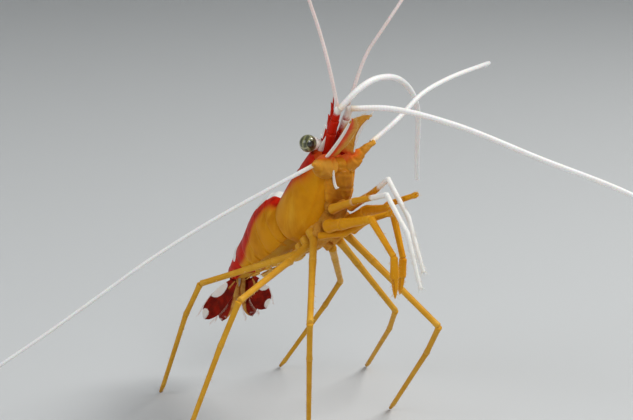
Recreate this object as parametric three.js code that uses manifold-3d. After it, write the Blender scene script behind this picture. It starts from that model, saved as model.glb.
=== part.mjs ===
// A cleaner shrimp at life size, as a still model standing on its six walking legs.
// Millimetres, +Z up, floor at z = 0, head towards +X, the animal's right side towards -Y.
import * as THREE from 'three';
import { mergeVertices } from 'three/addons/utils/BufferGeometryUtils.js';
import Module from 'manifold-3d';

const wasm = await Module();
wasm.setup();

// Driving dimensions.
const BODY_PITCH = THREE.MathUtils.degToRad(46);
const STAND_HEIGHT = 28;
const PLATE_GAP = 0.12;
const JOINT_GAP = 0.12;
const WAIST = 0.45;
const BACK_FULLNESS = 1.1;
const BELLY_FULLNESS = 0.8;
const SHELL_SIDES = 18;
const LIMB_SIDES = 8;
const EYE_RADIUS = 1;
const ROSTRUM_THICKNESS = 0.6;
const FOOT_RADIUS = 0.32;
const ANKLE_HEIGHT = 0.3;
const COXA_RISE = 0.6;

const SIDES = [['right', -1], ['left', 1]];

// Colours of the living animal.
const AMBER = 0xc5821c;
const PALE_AMBER = 0xd9a24a;
const RED = 0xb3170a;
const WHITE = 0xf4f1ea;
const PINK = 0xe9b7ab;
const EYE_GREEN = 0x6d705a;

const model = new THREE.Group();

// The body frame: x along the body axis to the head, y to the animal's left, z towards its back.
const body = new THREE.Group();
body.rotation.y = -BODY_PITCH;
body.position.z = STAND_HEIGHT;
model.add(body);
body.updateMatrixWorld();

const point = (x, y, z) => new THREE.Vector3(x, y, z);
const standing = (x, y, z) => body.localToWorld(point(x, y, z));
const mirrored = (sign) => ([x, y, z]) => point(x, y * sign, z);

function addMesh(parent, name, geometry, color, roughness = 0.4) {
  const material = new THREE.MeshStandardMaterial({ color, roughness, metalness: 0 });
  const mesh = new THREE.Mesh(geometry, material);
  mesh.name = name;
  parent.add(mesh);
  return mesh;
}

function bare(geometry) {
  geometry.deleteAttribute('normal');
  geometry.deleteAttribute('uv');
  return mergeVertices(geometry, 1e-4);
}

// A closed skin over a row of oval rings: the rows of a capped cylinder move onto the rings.
// Rings run so that (direction of the row) x side = up.
// The powers round the upper and lower halves: below 1 they square them off, above 1 they sharpen them.
function skin(rings, sides, upperPower = 1, lowerPower = 1) {
  const last = rings.length - 1;
  const geometry = new THREE.CylinderGeometry(1, 1, last, sides, last);
  const position = geometry.attributes.position;
  const shaped = (value, power) => Math.sign(value) * Math.abs(value) ** power;
  for (let i = 0; i < position.count; i += 1) {
    const ring = rings[Math.round(last / 2 - position.getY(i))];
    const power = position.getZ(i) > 0 ? upperPower : lowerPower;
    const across = shaped(position.getX(i), power) * ring.half;
    const rise = shaped(position.getZ(i), power);
    const place = ring.middle.clone().addScaledVector(ring.side, across);
    place.addScaledVector(ring.up, rise * (rise > 0 ? ring.top : ring.bottom));
    position.setXYZ(i, place.x, place.y, place.z);
  }
  return bare(geometry);
}

// A ring of a shell plate, from its highest and lowest points in the midplane and its half width.
function plateRing([topX, topZ], [bottomX, bottomZ], half) {
  const top = point(topX, 0, topZ);
  const bottom = point(bottomX, 0, bottomZ);
  const middle = bottom.clone().lerp(top, WAIST);
  const up = top.clone().sub(bottom).normalize();
  const side = point(0, 1, 0);
  return { middle, side, up, half, top: top.distanceTo(middle), bottom: bottom.distanceTo(middle) };
}

// Rings across a path, mitred at its bends; next, if given, is where the path would go on to.
// Widths run across the up direction and heights along it.
function pathRings(path, widths, up, heights = widths, next = null) {
  const route = next ? [...path, next] : path;
  return path.map((middle, i) => {
    const along = point(0, 0, 0);
    if (i > 0) along.add(middle.clone().sub(route[i - 1]).normalize());
    if (i < route.length - 1) along.add(route[i + 1].clone().sub(middle).normalize());
    along.normalize();
    const side = up.clone().cross(along).normalize();
    const lift = along.clone().cross(side);
    return { middle, side, up: lift, half: widths[i], top: heights[i], bottom: heights[i] };
  });
}

function limb(path, widths, up, heights, next) {
  return skin(pathRings(path, widths, up, heights, next), LIMB_SIDES);
}

function solid(geometry) {
  const vertProperties = new Float32Array(geometry.attributes.position.array);
  const triVerts = new Uint32Array(geometry.index.array);
  return new wasm.Manifold(new wasm.Mesh({ numProp: 3, vertProperties, triVerts }));
}

function joined(...geometries) {
  const mesh = geometries.map(solid).reduce((whole, piece) => whole.add(piece)).getMesh();
  const geometry = new THREE.BufferGeometry();
  geometry.setAttribute('position', new THREE.BufferAttribute(mesh.vertProperties, 3));
  geometry.setIndex(new THREE.BufferAttribute(mesh.triVerts, 1));
  return mergeVertices(geometry, 1e-4);
}

// Carapace: one shield over head and thorax, with the toothed rostrum growing out of it.
const CARAPACE_RINGS = [
  plateRing([-5.6, 3.1], [-5.8, -3.0], 2.9),
  plateRing([-5.0, 3.25], [-5.1, -4.0], 3.1),
  plateRing([-3.5, 3.35], [-3.6, -4.7], 3.25),
  plateRing([-1.5, 3.4], [-1.5, -4.9], 3.3),
  plateRing([1.2, 3.35], [1.4, -4.5], 3.1),
  plateRing([3.2, 3.25], [3.7, -3.5], 2.85),
  plateRing([4.4, 3.1], [5.4, -2.5], 2.7),
  plateRing([5.0, 2.9], [6.7, -1.6], 2.5),
];
const ROSTRUM_ROOT = 1.4;
const ROSTRUM_TIP = 11.3;
const ROSTRUM_TEETH = 6;
const ROSTRUM_LOWER_TEETH = 3;
const TOOTH_HEIGHT = 0.42;
const BLADE_RISE = 0.03;
const BLADE_CURVE = 0.022;
const TIP_BEND_START = 8;
const TIP_CURVE = 0.05;

function rostrum() {
  const crest = (x) => {
    const tipBend = TIP_CURVE * Math.max(x - TIP_BEND_START, 0) ** 2;
    return 3.35 + BLADE_RISE * (x - 3.5) + BLADE_CURVE * (x - 3.5) ** 2 + tipBend;
  };
  const depth = (x) => 1.15 * Math.sqrt(Math.max(ROSTRUM_TIP - x, 0) / 7);
  const profile = new THREE.Shape();
  profile.moveTo(ROSTRUM_ROOT, crest(ROSTRUM_ROOT) - 0.6);
  const pitch = (ROSTRUM_TIP - ROSTRUM_ROOT - 1.2) / ROSTRUM_TEETH;
  for (let tooth = 0; tooth < ROSTRUM_TEETH; tooth += 1) {
    const start = ROSTRUM_ROOT + 0.2 + tooth * pitch;
    const tip = start + 0.9 * pitch;
    profile.lineTo(start, crest(start));
    profile.lineTo(tip, crest(tip) + TOOTH_HEIGHT);
    profile.lineTo(tip - 0.08, crest(tip));
  }
  profile.lineTo(ROSTRUM_TIP, crest(ROSTRUM_TIP));
  for (let tooth = 0; tooth < ROSTRUM_LOWER_TEETH; tooth += 1) {
    const tip = ROSTRUM_TIP - 1.4 - tooth * 1.2;
    const foot = tip - 0.3;
    profile.lineTo(tip, crest(tip) - depth(tip) - 0.6 * TOOTH_HEIGHT);
    profile.lineTo(foot, crest(foot) - depth(foot));
  }
  profile.lineTo(4.2, crest(4.2) - depth(4.2));
  profile.closePath();
  const blade = new THREE.ExtrudeGeometry(profile, { depth: ROSTRUM_THICKNESS, bevelEnabled: false });
  blade.rotateX(Math.PI / 2);
  blade.translate(0, ROSTRUM_THICKNESS / 2, 0);
  return bare(blade);
}

function buildCarapace() {
  const shield = skin(CARAPACE_RINGS, SHELL_SIDES, BACK_FULLNESS, BELLY_FULLNESS);
  addMesh(body, 'carapace', joined(shield, rostrum()), AMBER, 0.35);
}

// Abdomen: six plates between seven slanted seams, each seam a top point, a bottom point and a half width.
const SEAMS = [
  { top: [-5.75, 3.3], bottom: [-6.1, -2.75], half: 2.85 },
  { top: [-8.0, 5.4], bottom: [-7.7, -2.6], half: 2.9 },
  { top: [-10.5, 6.05], bottom: [-10.7, -2.0], half: 2.85 },
  { top: [-13.7, 6.0], bottom: [-13.3, -1.05], half: 2.65 },
  { top: [-16.2, 5.5], bottom: [-15.7, 0.1], half: 2.35 },
  { top: [-18.4, 5.15], bottom: [-18.0, 1.1], half: 2.0 },
  { top: [-22.3, 4.85], bottom: [-21.7, 2.1], half: 1.55 },
];
const PLATE_BULGE = 0.14;
const SHELL_COLOURS = [AMBER, AMBER, AMBER, AMBER, AMBER, RED];

function seamRing({ top, bottom, half }, shift) {
  return plateRing([top[0] + shift, top[1]], [bottom[0] + shift, bottom[1]], half);
}

function middleRing(front, back) {
  const mix = (a, b) => [(a[0] + b[0]) / 2, (a[1] + b[1]) / 2];
  const [topX, topZ] = mix(front.top, back.top);
  const [bottomX, bottomZ] = mix(front.bottom, back.bottom);
  const half = (front.half + back.half) / 2 + PLATE_BULGE;
  return plateRing([topX, topZ + PLATE_BULGE], [bottomX, bottomZ - PLATE_BULGE], half);
}

function buildAbdomen() {
  for (let i = 0; i < SEAMS.length - 1; i += 1) {
    const front = SEAMS[i];
    const back = SEAMS[i + 1];
    const rings = [seamRing(back, PLATE_GAP / 2), middleRing(front, back), seamRing(front, -PLATE_GAP / 2)];
    const name = `abdomen_plate_${i + 1}`;
    addMesh(body, name, skin(rings, SHELL_SIDES, BACK_FULLNESS, BELLY_FULLNESS), SHELL_COLOURS[i], 0.35);
  }
}

const LEAF_SHARES = [0.45, 0.85, 1, 0.85, 0.35];

// A thin flat leaf along a line, its width a share of the half width at evenly spaced places.
// Straight, 1 or -1, keeps the margin on that side a straight line and lets only the other one curve.
function leaf(start, end, half, thickness, up, points = LEAF_SHARES, straight = 0) {
  const side = up.clone().cross(end.clone().sub(start)).normalize();
  const path = points.map((share, i) => {
    const middle = start.clone().lerp(end, i / (points.length - 1));
    return middle.addScaledVector(side, straight * half * (1 - share));
  });
  const widths = points.map((share) => half * share);
  const heights = points.map(() => thickness / 2);
  return limb(path, widths, up, heights);
}

// Tail fan, in its own frame bent down from the sixth plate: the telson over two pairs of blades.
const TAIL_BEND = THREE.MathUtils.degToRad(35);
const TAIL_ROOT = [-22.25, 0, 3.3];
const TELSON_SHARES = [1, 0.85, 0.7, 0.5, 0.3];
const TELSON = { start: [0, 0, 0.5], end: [-5.4, 0, 0.4], half: 1.1, thickness: 0.6 };
const BLADE_SHARES = [0.4, 0.85, 1, 0.9, 0.5];
const BLADE_THICKNESS = 0.5;
const INNER_BLADE = { start: [-0.15, 0.7, -0.3], end: [-5.8, 2.2, -0.3], half: 1.15 };
const OUTER_BLADES = {
  right: { start: [-0.25, 1.25, -1], end: [-4.9, 5.1, -0.8], half: 1.45 },
  left: { start: [-0.25, 1.25, -1], end: [-4.7, 3.7, -1], half: 1.4 },
};

function buildTailFan() {
  const tail = new THREE.Group();
  tail.rotation.y = -TAIL_BEND;
  tail.position.set(...TAIL_ROOT);
  body.add(tail);
  const flat = point(0, 0, 1);
  const { start: root, end: tip, half: halfWidth, thickness } = TELSON;
  const telson = leaf(point(...root), point(...tip), halfWidth, thickness, flat, TELSON_SHARES);
  addMesh(tail, 'telson', telson, RED);
  for (const [side, sign] of SIDES) {
    const place = mirrored(sign);
    for (const [name, { start, end, half }] of [['inner', INNER_BLADE], ['outer', OUTER_BLADES[side]]]) {
      const blade = leaf(place(start), place(end), half, BLADE_THICKNESS, flat, BLADE_SHARES);
      addMesh(tail, `tail_${name}_blade_${side}`, blade, RED);
    }
  }
}

// Swimmerets: folded back under each of the first five plates, a bar that carries two small paddles.
const SWIMMERET_SHARE = 0.76;
const SWIMMERET_BAR = [0.6, 2, 0.5];
const SWIMMERET_DEPTH = 0.46;

function buildSwimmerets() {
  for (let i = 0; i < 5; i += 1) {
    const [frontX, frontZ] = SEAMS[i].bottom;
    const [backX, backZ] = SEAMS[i + 2].bottom;
    const slope = (backZ - frontZ) / (frontX - backX);
    const length = (SWIMMERET_SHARE * (frontX - backX)) / 2;
    const root = middleRing(SEAMS[i], SEAMS[i + 1]);
    const base = root.middle.clone().addScaledVector(root.up, -root.bottom - SWIMMERET_DEPTH);
    const bar = new THREE.BoxGeometry(...SWIMMERET_BAR);
    bar.translate(base.x, 0, base.z);
    const paddles = SIDES.map(([, sign]) => {
      const start = point(base.x, 0.8 * sign, base.z);
      const end = point(base.x - length, 1.1 * sign, base.z + slope * length - 0.25);
      return leaf(start, end, 0.7, 0.5, point(slope, 0.15 * sign, 1));
    });
    addMesh(body, `swimmerets_${i + 1}`, joined(bare(bar), ...paddles), PALE_AMBER);
  }
}

// Head: stalked eyes, feeler bases, the flat scales beside them and the mouthparts.
const EYE = [6.5, 2.75, 2.3];
const EYESTALK = [[5.6, 0.75, 2.65], [5.85, 1.25, 2.6], [6.1, 1.75, 2.5]];
const EYESTALK_WIDTHS = [0.4, 0.46, 0.56];
const PEDUNCLE = [[6.6, 0.8, 1.2], [8.6, 0.8, 1.9], [8.8, 0.8, 1.97], [10.2, 0.75, 2.45], [10.4, 0.75, 2.5],
  [11.7, 0.75, 2.9]];
const PEDUNCLE_WIDTHS = [0.58, 0.65, 0.54, 0.58, 0.48, 0.5];
const ANTENNA_BASE = {
  right: [[6.6, -2.5, -1.2], [7.3, -3.4, -1.5], [8.0, -4.35, -1.7]],
  left: [[6.9, 2.45, -0.4], [7.65, 3.2, -0.1], [8.4, 4.0, 0.12]],
};
const ANTENNA_BASE_WIDTHS = [0.75, 0.65, 0.42];
const ANTENNAL_SCALE = {
  right: [[7.1, -1.5, -0.2], [14.2, -0.95, 0]],
  left: [[7.2, 1.05, 0.35], [13.7, 0.8, 0.8]],
};
const SCALE_HALF_WIDTH = 1;
const SCALE_SHARES = [0.5, 0.85, 1, 0.85, 0.3];
const SCALE_THICKNESS = 0.5;
const MOUTH_RADII = [1.3, 1.35, 0.85];
const MOUTH_PLACE = [4.85, 0, -4.1];

function buildHead() {
  const back = point(0, 0, 1);
  for (const [side, sign] of SIDES) {
    const place = mirrored(sign);
    const ball = bare(new THREE.SphereGeometry(EYE_RADIUS, 14, 10));
    addMesh(body, `eye_${side}`, ball, EYE_GREEN, 0.1).position.copy(place(EYE));
    addMesh(body, `eyestalk_${side}`, limb(EYESTALK.map(place), EYESTALK_WIDTHS, back), WHITE);
    addMesh(body, `antennule_base_${side}`, limb(PEDUNCLE.map(place), PEDUNCLE_WIDTHS, back), RED);
    const root = ANTENNA_BASE[side].map((spot) => point(...spot));
    addMesh(body, `antenna_base_${side}`, limb(root, ANTENNA_BASE_WIDTHS, back), PALE_AMBER);
    const [start, end] = ANTENNAL_SCALE[side].map((spot) => point(...spot));
    const tilt = point(0, 0.6 * sign, 0.8);
    const scale = leaf(start, end, SCALE_HALF_WIDTH, SCALE_THICKNESS, tilt, SCALE_SHARES, sign);
    addMesh(body, `antennal_scale_${side}`, scale, AMBER);
  }
  const mouth = addMesh(body, 'mouthparts', bare(new THREE.SphereGeometry(1, 12, 8)), AMBER);
  mouth.scale.set(...MOUTH_RADII);
  mouth.position.set(...MOUTH_PLACE);
}

// Small limbs in front: third maxillipeds, claw-bearing first legs and slim second legs.
const MAXILLIPEDS = {
  right: [[2.9, -1.2, -4.6], [6.9, -0.7, -6.4], [11.5, 0.2, -9.0], [11.75, 0.2, -14.35], [9.55, 0.2, -20.15]],
  left: [[2.9, 1.2, -4.6], [6.4, 1.9, -5.6], [10.8, 1.9, -6.55], [11.0, 1.9, -11.95], [9.35, 1.7, -18.15]],
};
const FIRST_LEGS = {
  right: [[1.7, -1.8, -6.0], [4.7, -1.8, -7.8], [9.0, -1.3, -10.3], [9.45, -1.1, -15.75], [6.05, -0.9, -19.0]],
  left: [[1.3, 1.6, -5.6], [5.3, 1.5, -6.85], [9.9, 1.3, -9.75], [7.65, 1.3, -15.05], [4.45, 1.1, -17.7]],
};
const SECOND_LEGS = {
  right: [[-0.1, -2.1, -6.0], [2.8, -0.9, -7.9], [7.4, 0.0, -9.3], [10.9, 0.2, -11.0]],
  left: [[-0.2, 2.4, -6.0], [3.2, 3.2, -6.5], [7.2, 3.3, -7.5], [13.1, 3.0, -10.4]],
};
const MAXILLIPED_WIDTHS = [0.42, 0.38, 0.29, 0.27, 0.25];
const FIRST_LEG_WIDTHS = [0.6, 0.62, 0.46, 0.35];
const CLAW_WIDTHS = [0.38, 0.54, 0.26];
const SECOND_LEG_WIDTHS = [0.42, 0.42, 0.38, 0.27];

// The stretch of a path from one joint to the next, stopping short of the joint it shares with a neighbour.
function shortened(end, other, gap) {
  return end.clone().add(other.clone().sub(end).setLength(gap));
}

function buildFrontLimbs() {
  const across = point(0, 1, 0);
  for (const [side] of SIDES) {
    const jaw = MAXILLIPEDS[side].map((place) => point(...place));
    addMesh(body, `third_maxilliped_${side}`, limb(jaw, MAXILLIPED_WIDTHS, across), WHITE);

    const [hip, thigh, elbow, wrist, tip] = FIRST_LEGS[side].map((place) => point(...place));
    const arm = [hip, thigh, elbow, shortened(wrist, elbow, JOINT_GAP)];
    addMesh(body, `first_leg_${side}`, limb(arm, FIRST_LEG_WIDTHS, across, undefined, tip), AMBER);
    const claw = [tip, wrist.clone().lerp(tip, 0.35), shortened(wrist, tip, JOINT_GAP)];
    const clawWidths = [...CLAW_WIDTHS].reverse();
    addMesh(body, `first_leg_claw_${side}`, limb(claw, clawWidths, across, undefined, elbow), AMBER);

    const slim = SECOND_LEGS[side].map((place) => point(...place));
    addMesh(body, `second_leg_${side}`, limb(slim, SECOND_LEG_WIDTHS, across), AMBER);
  }
}

// Walking legs: three pairs, two lengths each; the knee is found from the hip, the foot and the lengths.
// Swing turns the knee about the line from hip to foot, from straight up round to the animal's right.
const WALKING_LEGS = [
  { number: 3, hip: [-1.2, 2.2, -5.6], upper: 15.5, lower: 20 },
  { number: 4, hip: [-2.9, 2.2, -5.5], upper: 14.5, lower: 20 },
  { number: 5, hip: [-4.6, 2.0, -5.2], upper: 14, lower: 19 },
];
const STANCE = {
  right: {
    3: { foot: [6.2, -4.8], swing: 352 },
    4: { foot: [3.9, -20.6], swing: 329 },
    5: { foot: [-20, -10.2], swing: 327 },
  },
  left: {
    3: { foot: [0.6, 10.3], swing: 98 },
    4: { foot: [-16, 17.8], swing: 107 },
    5: { foot: [-21.8, 8.2], swing: 62 },
  },
};
const UPPER_SHARES = [0.12, 0.5];
const UPPER_WIDTHS = [0.6, 0.58, 0.48, 0.4, 0.34];
const LOWER_SHARES = [0.3, 0.33, 0.9];
const LOWER_WIDTHS = [0.33, 0.29, 0.31, 0.27, 0.25, FOOT_RADIUS];
const LOWER_BOW = 0.5;

function kneeOf(hip, foot, upper, lower, swing) {
  const reach = foot.clone().sub(hip);
  const distance = reach.length();
  const along = reach.normalize();
  const shadow = (upper * upper - lower * lower + distance * distance) / (2 * distance);
  const rise = Math.sqrt(upper * upper - shadow * shadow);
  const high = point(0, 0, 1).addScaledVector(along, -along.z).normalize();
  const wide = along.clone().cross(high);
  const angle = THREE.MathUtils.degToRad(swing);
  const knee = hip.clone().addScaledVector(along, shadow);
  return knee.addScaledVector(high, rise * Math.cos(angle)).addScaledVector(wide, rise * Math.sin(angle));
}

// The lower length bows out a little at the joint between its first two segments and ends in a flat foot.
function lowerLeg(knee, foot, hip, flat) {
  const bow = knee.clone().sub(hip.clone().lerp(foot, 0.5)).setLength(LOWER_BOW);
  const [first, second, third] = LOWER_SHARES.map((share) => knee.clone().lerp(foot, share));
  const ankle = knee.clone().lerp(foot, 1 - ANKLE_HEIGHT / knee.z);
  const start = shortened(knee, foot, JOINT_GAP);
  const path = [foot, ankle, third, second.add(bow), first.add(bow), start];
  const rings = pathRings(path, [...LOWER_WIDTHS].reverse(), flat, undefined, hip);
  const sole = rings[0];
  sole.up = point(-1, 0, 0);
  sole.side = point(0, 1, 0);
  return skin(rings, LIMB_SIDES);
}

function buildWalkingLegs() {
  for (const [side, sign] of SIDES) {
    for (const { number, hip: [hipX, hipY, hipZ], upper, lower } of WALKING_LEGS) {
      const stance = STANCE[side][number];
      const hip = standing(hipX, hipY * sign, hipZ);
      const coxa = standing(hipX, hipY * sign, hipZ + COXA_RISE);
      const foot = point(...stance.foot, 0);
      const knee = kneeOf(hip, foot, upper, lower, stance.swing);
      const flat = foot.clone().sub(hip).cross(knee.clone().sub(hip)).normalize();
      const middle = UPPER_SHARES.map((share) => hip.clone().lerp(knee, share));
      const thigh = [coxa, hip, ...middle, shortened(knee, hip, JOINT_GAP)];
      addMesh(model, `leg_${number}_upper_${side}`, limb(thigh, UPPER_WIDTHS, flat, undefined, foot), AMBER);
      addMesh(model, `leg_${number}_lower_${side}`, lowerLeg(knee, foot, hip, flat), AMBER);
    }
  }
}

// Long feelers, each a smooth curve through a few places in the standing frame, cut into lengths.
// Each antennule carries two: a thick whip and, above it, a fine thread.
const whipRoot = (sign) => standing(12.25, 0.8 * sign, 2.75);
const threadRoot = (sign) => standing(12.0, 0.72 * sign, 3.45);

const FEELERS = [
  {
    name: 'antenna_right', color: WHITE, lengths: 2, from: 0.3, to: 0.25, root: standing(8.3, -4.65, -1.8),
    route: [[4.1, -8.6, 29.85], [0.6, -14.1, 26.15], [-3.1, -19.9, 21.75], [-6.7, -25.7, 16.8],
      [-10.4, -31.6, 11.8], [-14.3, -38.5, 6.9], [-17.5, -47, 4.5], [-19, -57, 5.2], [-18, -67, 8.5]],
  },
  {
    name: 'antenna_left', color: WHITE, lengths: 2, from: 0.3, to: 0.25, root: standing(8.6, 4.2, 0.1),
    route: [[4.9, 8.1, 36.4], [3.9, 11.9, 38.7], [1.4, 17.3, 39.8], [-4.3, 27.1, 40.2], [-21.8, 40.7, 37.2],
      [-45, 58, 33]],
  },
  {
    name: 'antennule_whip_right', color: WHITE, lengths: 3, from: 0.42, to: 0.3, root: whipRoot(-1),
    route: [[6.85, 1.2, 40.45], [6.7, 3.3, 41.45], [5.35, 6.6, 41.45], [2.15, 10.9, 40],
      [-1.25, 14.75, 37.4], [-5.2, 18.05, 33.9], [-10.2, 21.4, 29], [-15.9, 25.4, 24.2]],
  },
  {
    name: 'antennule_whip_left', color: WHITE, lengths: 2, from: 0.38, to: 0.26, root: whipRoot(1),
    route: [[8.8, 4.6, 38.4], [13, 10.4, 36.65], [18.8, 17.9, 33], [25.6, 25.8, 29.1], [30.4, 31.6, 24.9],
      [34, 35.6, 20.6]],
  },
  {
    name: 'antennule_thread_right', color: PINK, lengths: 1, from: 0.27, to: 0.25, root: threadRoot(-1),
    route: [[5.9, -1.9, 43.4], [5.35, -2.7, 47], [5.1, -4.05, 50.9], [5.2, -6.75, 57.6],
      [6.2, -10.75, 65.2]],
  },
  {
    name: 'antennule_thread_left', color: PINK, lengths: 1, from: 0.27, to: 0.25, root: threadRoot(1),
    route: [[6.55, 2.65, 44.4], [7.35, 4.25, 47.2], [7.75, 6.65, 50.5], [7.9, 10.75, 55.9],
      [7.9, 16.45, 62.3]],
  },
];
const FEELER_STEPS = 9;

function buildFeelers() {
  for (const { name, color, lengths, from, to, root, route } of FEELERS) {
    const places = [root, ...route.map((place) => point(...place))];
    const curve = new THREE.CatmullRomCurve3(places, false, 'centripetal');
    const gap = JOINT_GAP / curve.getLength() / 2;
    for (let piece = 0; piece < lengths; piece += 1) {
      const start = piece / lengths + (piece > 0 ? gap : 0);
      const end = (piece + 1) / lengths - (piece < lengths - 1 ? gap : 0);
      const step = (end - start) / (FEELER_STEPS - 1);
      const shares = Array.from({ length: FEELER_STEPS }, (_, i) => start + step * i);
      const path = shares.map((share) => curve.getPointAt(share));
      const widths = shares.map((share) => from + (to - from) * share);
      const up = path[0].clone().sub(path[4]).cross(path[8].clone().sub(path[4])).normalize();
      const label = lengths > 1 ? `${name}_${piece + 1}` : name;
      addMesh(model, label, limb(path, widths, up), color);
    }
  }
}

buildCarapace();
buildAbdomen();
buildTailFan();
buildSwimmerets();
buildHead();
buildFrontLimbs();
buildWalkingLegs();
buildFeelers();

// The origin is on the floor, under the middle of the whole model's box.
model.updateMatrixWorld(true);
const box = new THREE.Box3().setFromObject(model, true);
model.position.set(-(box.min.x + box.max.x) / 2, -(box.min.y + box.max.y) / 2, 0);

export default model;
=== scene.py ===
# A cleaner shrimp at life size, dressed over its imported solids. Shapes are in millimetres until a piece is made.
import math

import bpy
import numpy as np
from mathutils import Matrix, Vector


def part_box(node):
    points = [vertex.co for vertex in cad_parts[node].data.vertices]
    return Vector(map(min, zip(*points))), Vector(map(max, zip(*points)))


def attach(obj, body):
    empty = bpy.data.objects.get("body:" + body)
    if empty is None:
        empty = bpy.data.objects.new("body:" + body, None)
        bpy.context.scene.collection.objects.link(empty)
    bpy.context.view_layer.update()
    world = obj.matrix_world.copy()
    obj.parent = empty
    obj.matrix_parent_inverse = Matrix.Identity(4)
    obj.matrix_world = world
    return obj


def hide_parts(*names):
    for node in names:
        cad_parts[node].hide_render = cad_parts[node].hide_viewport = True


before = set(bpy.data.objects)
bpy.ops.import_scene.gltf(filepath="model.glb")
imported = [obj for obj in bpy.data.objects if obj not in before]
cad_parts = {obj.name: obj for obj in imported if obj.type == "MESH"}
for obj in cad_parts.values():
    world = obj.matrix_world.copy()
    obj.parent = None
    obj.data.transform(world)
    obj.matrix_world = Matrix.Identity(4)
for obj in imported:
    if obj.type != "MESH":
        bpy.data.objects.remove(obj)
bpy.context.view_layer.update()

MM = 0.001
rng = np.random.default_rng(7)

# The body frame: forward along the carapace, towards the animal's left, and out of its back.
BODY_PITCH = math.radians(46)
STAND_HEIGHT = 28
AXES = np.array([
    [math.cos(BODY_PITCH), 0, math.sin(BODY_PITCH)],
    [0, 1, 0],
    [-math.sin(BODY_PITCH), 0, math.cos(BODY_PITCH)],
])
EYE = (6.5, 2.75, 2.3)
TAIL_BEND = math.radians(35)
TAIL_ROOT = (-22.25, 0, 3.3)
eye_low, eye_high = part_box("eye_left")
THORAX = np.array((eye_low + eye_high) / 2) / MM - np.array(EYE) @ AXES
GROUND = THORAX - [0, 0, STAND_HEIGHT]
SIDES = (("right", -1), ("left", 1))
X_AXIS, Y_AXIS, Z_AXIS = np.eye(3)


def body(places):
    return THORAX + np.asarray(places, float) @ AXES


def ground(places):
    return GROUND + np.asarray(places, float)


def tail(places):
    x, y, z = np.moveaxis(np.asarray(places, float), -1, 0)
    c, s = math.cos(TAIL_BEND), math.sin(TAIL_BEND)
    return body(np.stack([TAIL_ROOT[0] + c * x - s * z, TAIL_ROOT[1] + y, TAIL_ROOT[2] + s * x + c * z], -1))


def unmoved(places):
    return places


def mirrored(places, sign):
    return np.asarray(places, float) * [1, sign, 1]


def on_both_sides(build):
    """A builder of one side, run for the right and then the left."""
    def build_both():
        for name, sign in SIDES:
            build(name, sign)
    return build_both


# Numbers and curves.
def ease(x, low, high):
    t = np.clip((np.asarray(x, float) - low) / (high - low), 0, 1)
    return t * t * (3 - 2 * t)


def hump(x, centre, width):
    return np.exp(-(((np.asarray(x, float) - centre) / width) ** 2))


def unit(v):
    v = np.asarray(v, float)
    return v / np.maximum(np.linalg.norm(v, axis=-1, keepdims=True), 1e-12)


def part_way(a, b, share):
    return a + (b - a) * share


def circle(count):
    return np.linspace(0, 2 * math.pi, count, endpoint=False)


def grid(a, b, c=0.0):
    """Three values at every point of a grid, from the values of its rows, its columns or all of it."""
    return np.stack(np.broadcast_arrays(np.asarray(a, float), b, c), -1)


def plain(*_):
    """The tint of a form without markings."""
    return (0, 0, 0)


def through(table, t):
    """A smooth curve through the rows of a table, read at t from 0 to 1."""
    table = np.asarray(table, float)
    if table.ndim == 1:
        return through(table[:, None], t)[..., 0]
    last = len(table) - 1
    s = np.clip(np.asarray(t, float), 0, 1) * last
    i = np.minimum(s.astype(int), last - 1)
    u = (s - i)[..., None]
    a, b, c, d = (table[np.clip(i + k, 0, last)] for k in (-1, 0, 1, 2))
    return b + 0.5 * u * (c - a + u * (2 * a - 5 * b + 4 * c - d + u * (3 * (b - c) + d - a)))


SPAN_STEPS = 40


def route(places, count):
    """A smooth line through unevenly spaced places, cut into even steps."""
    p = np.asarray(places, float)
    p = np.vstack([2 * p[0] - p[1], p, 2 * p[-1] - p[-2]])
    knots = np.sqrt(np.linalg.norm(np.diff(p, axis=0), axis=1))
    line = []
    for i in range(1, len(p) - 2):
        before, here, after = knots[i - 1:i + 2]
        step = p[i + 1] - p[i]
        leave = (p[i] - p[i - 1]) / before - (p[i + 1] - p[i - 1]) / (before + here) + step / here
        arrive = step / here - (p[i + 2] - p[i]) / (here + after) + (p[i + 2] - p[i + 1]) / after
        u = np.linspace(0, 1, SPAN_STEPS, endpoint=i == len(p) - 3)[:, None]
        line.append(p[i] + u * here * leave + u ** 2 * (3 * step - here * (2 * leave + arrive))
                    + u ** 3 * (here * (leave + arrive) - 2 * step))
    line = np.vstack(line)
    run = np.concatenate([[0], np.cumsum(np.linalg.norm(np.diff(line, axis=0), axis=1))])
    at = np.linspace(0, run[-1], count)
    return np.stack([np.interp(at, run, line[:, k]) for k in range(3)], -1)


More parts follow.
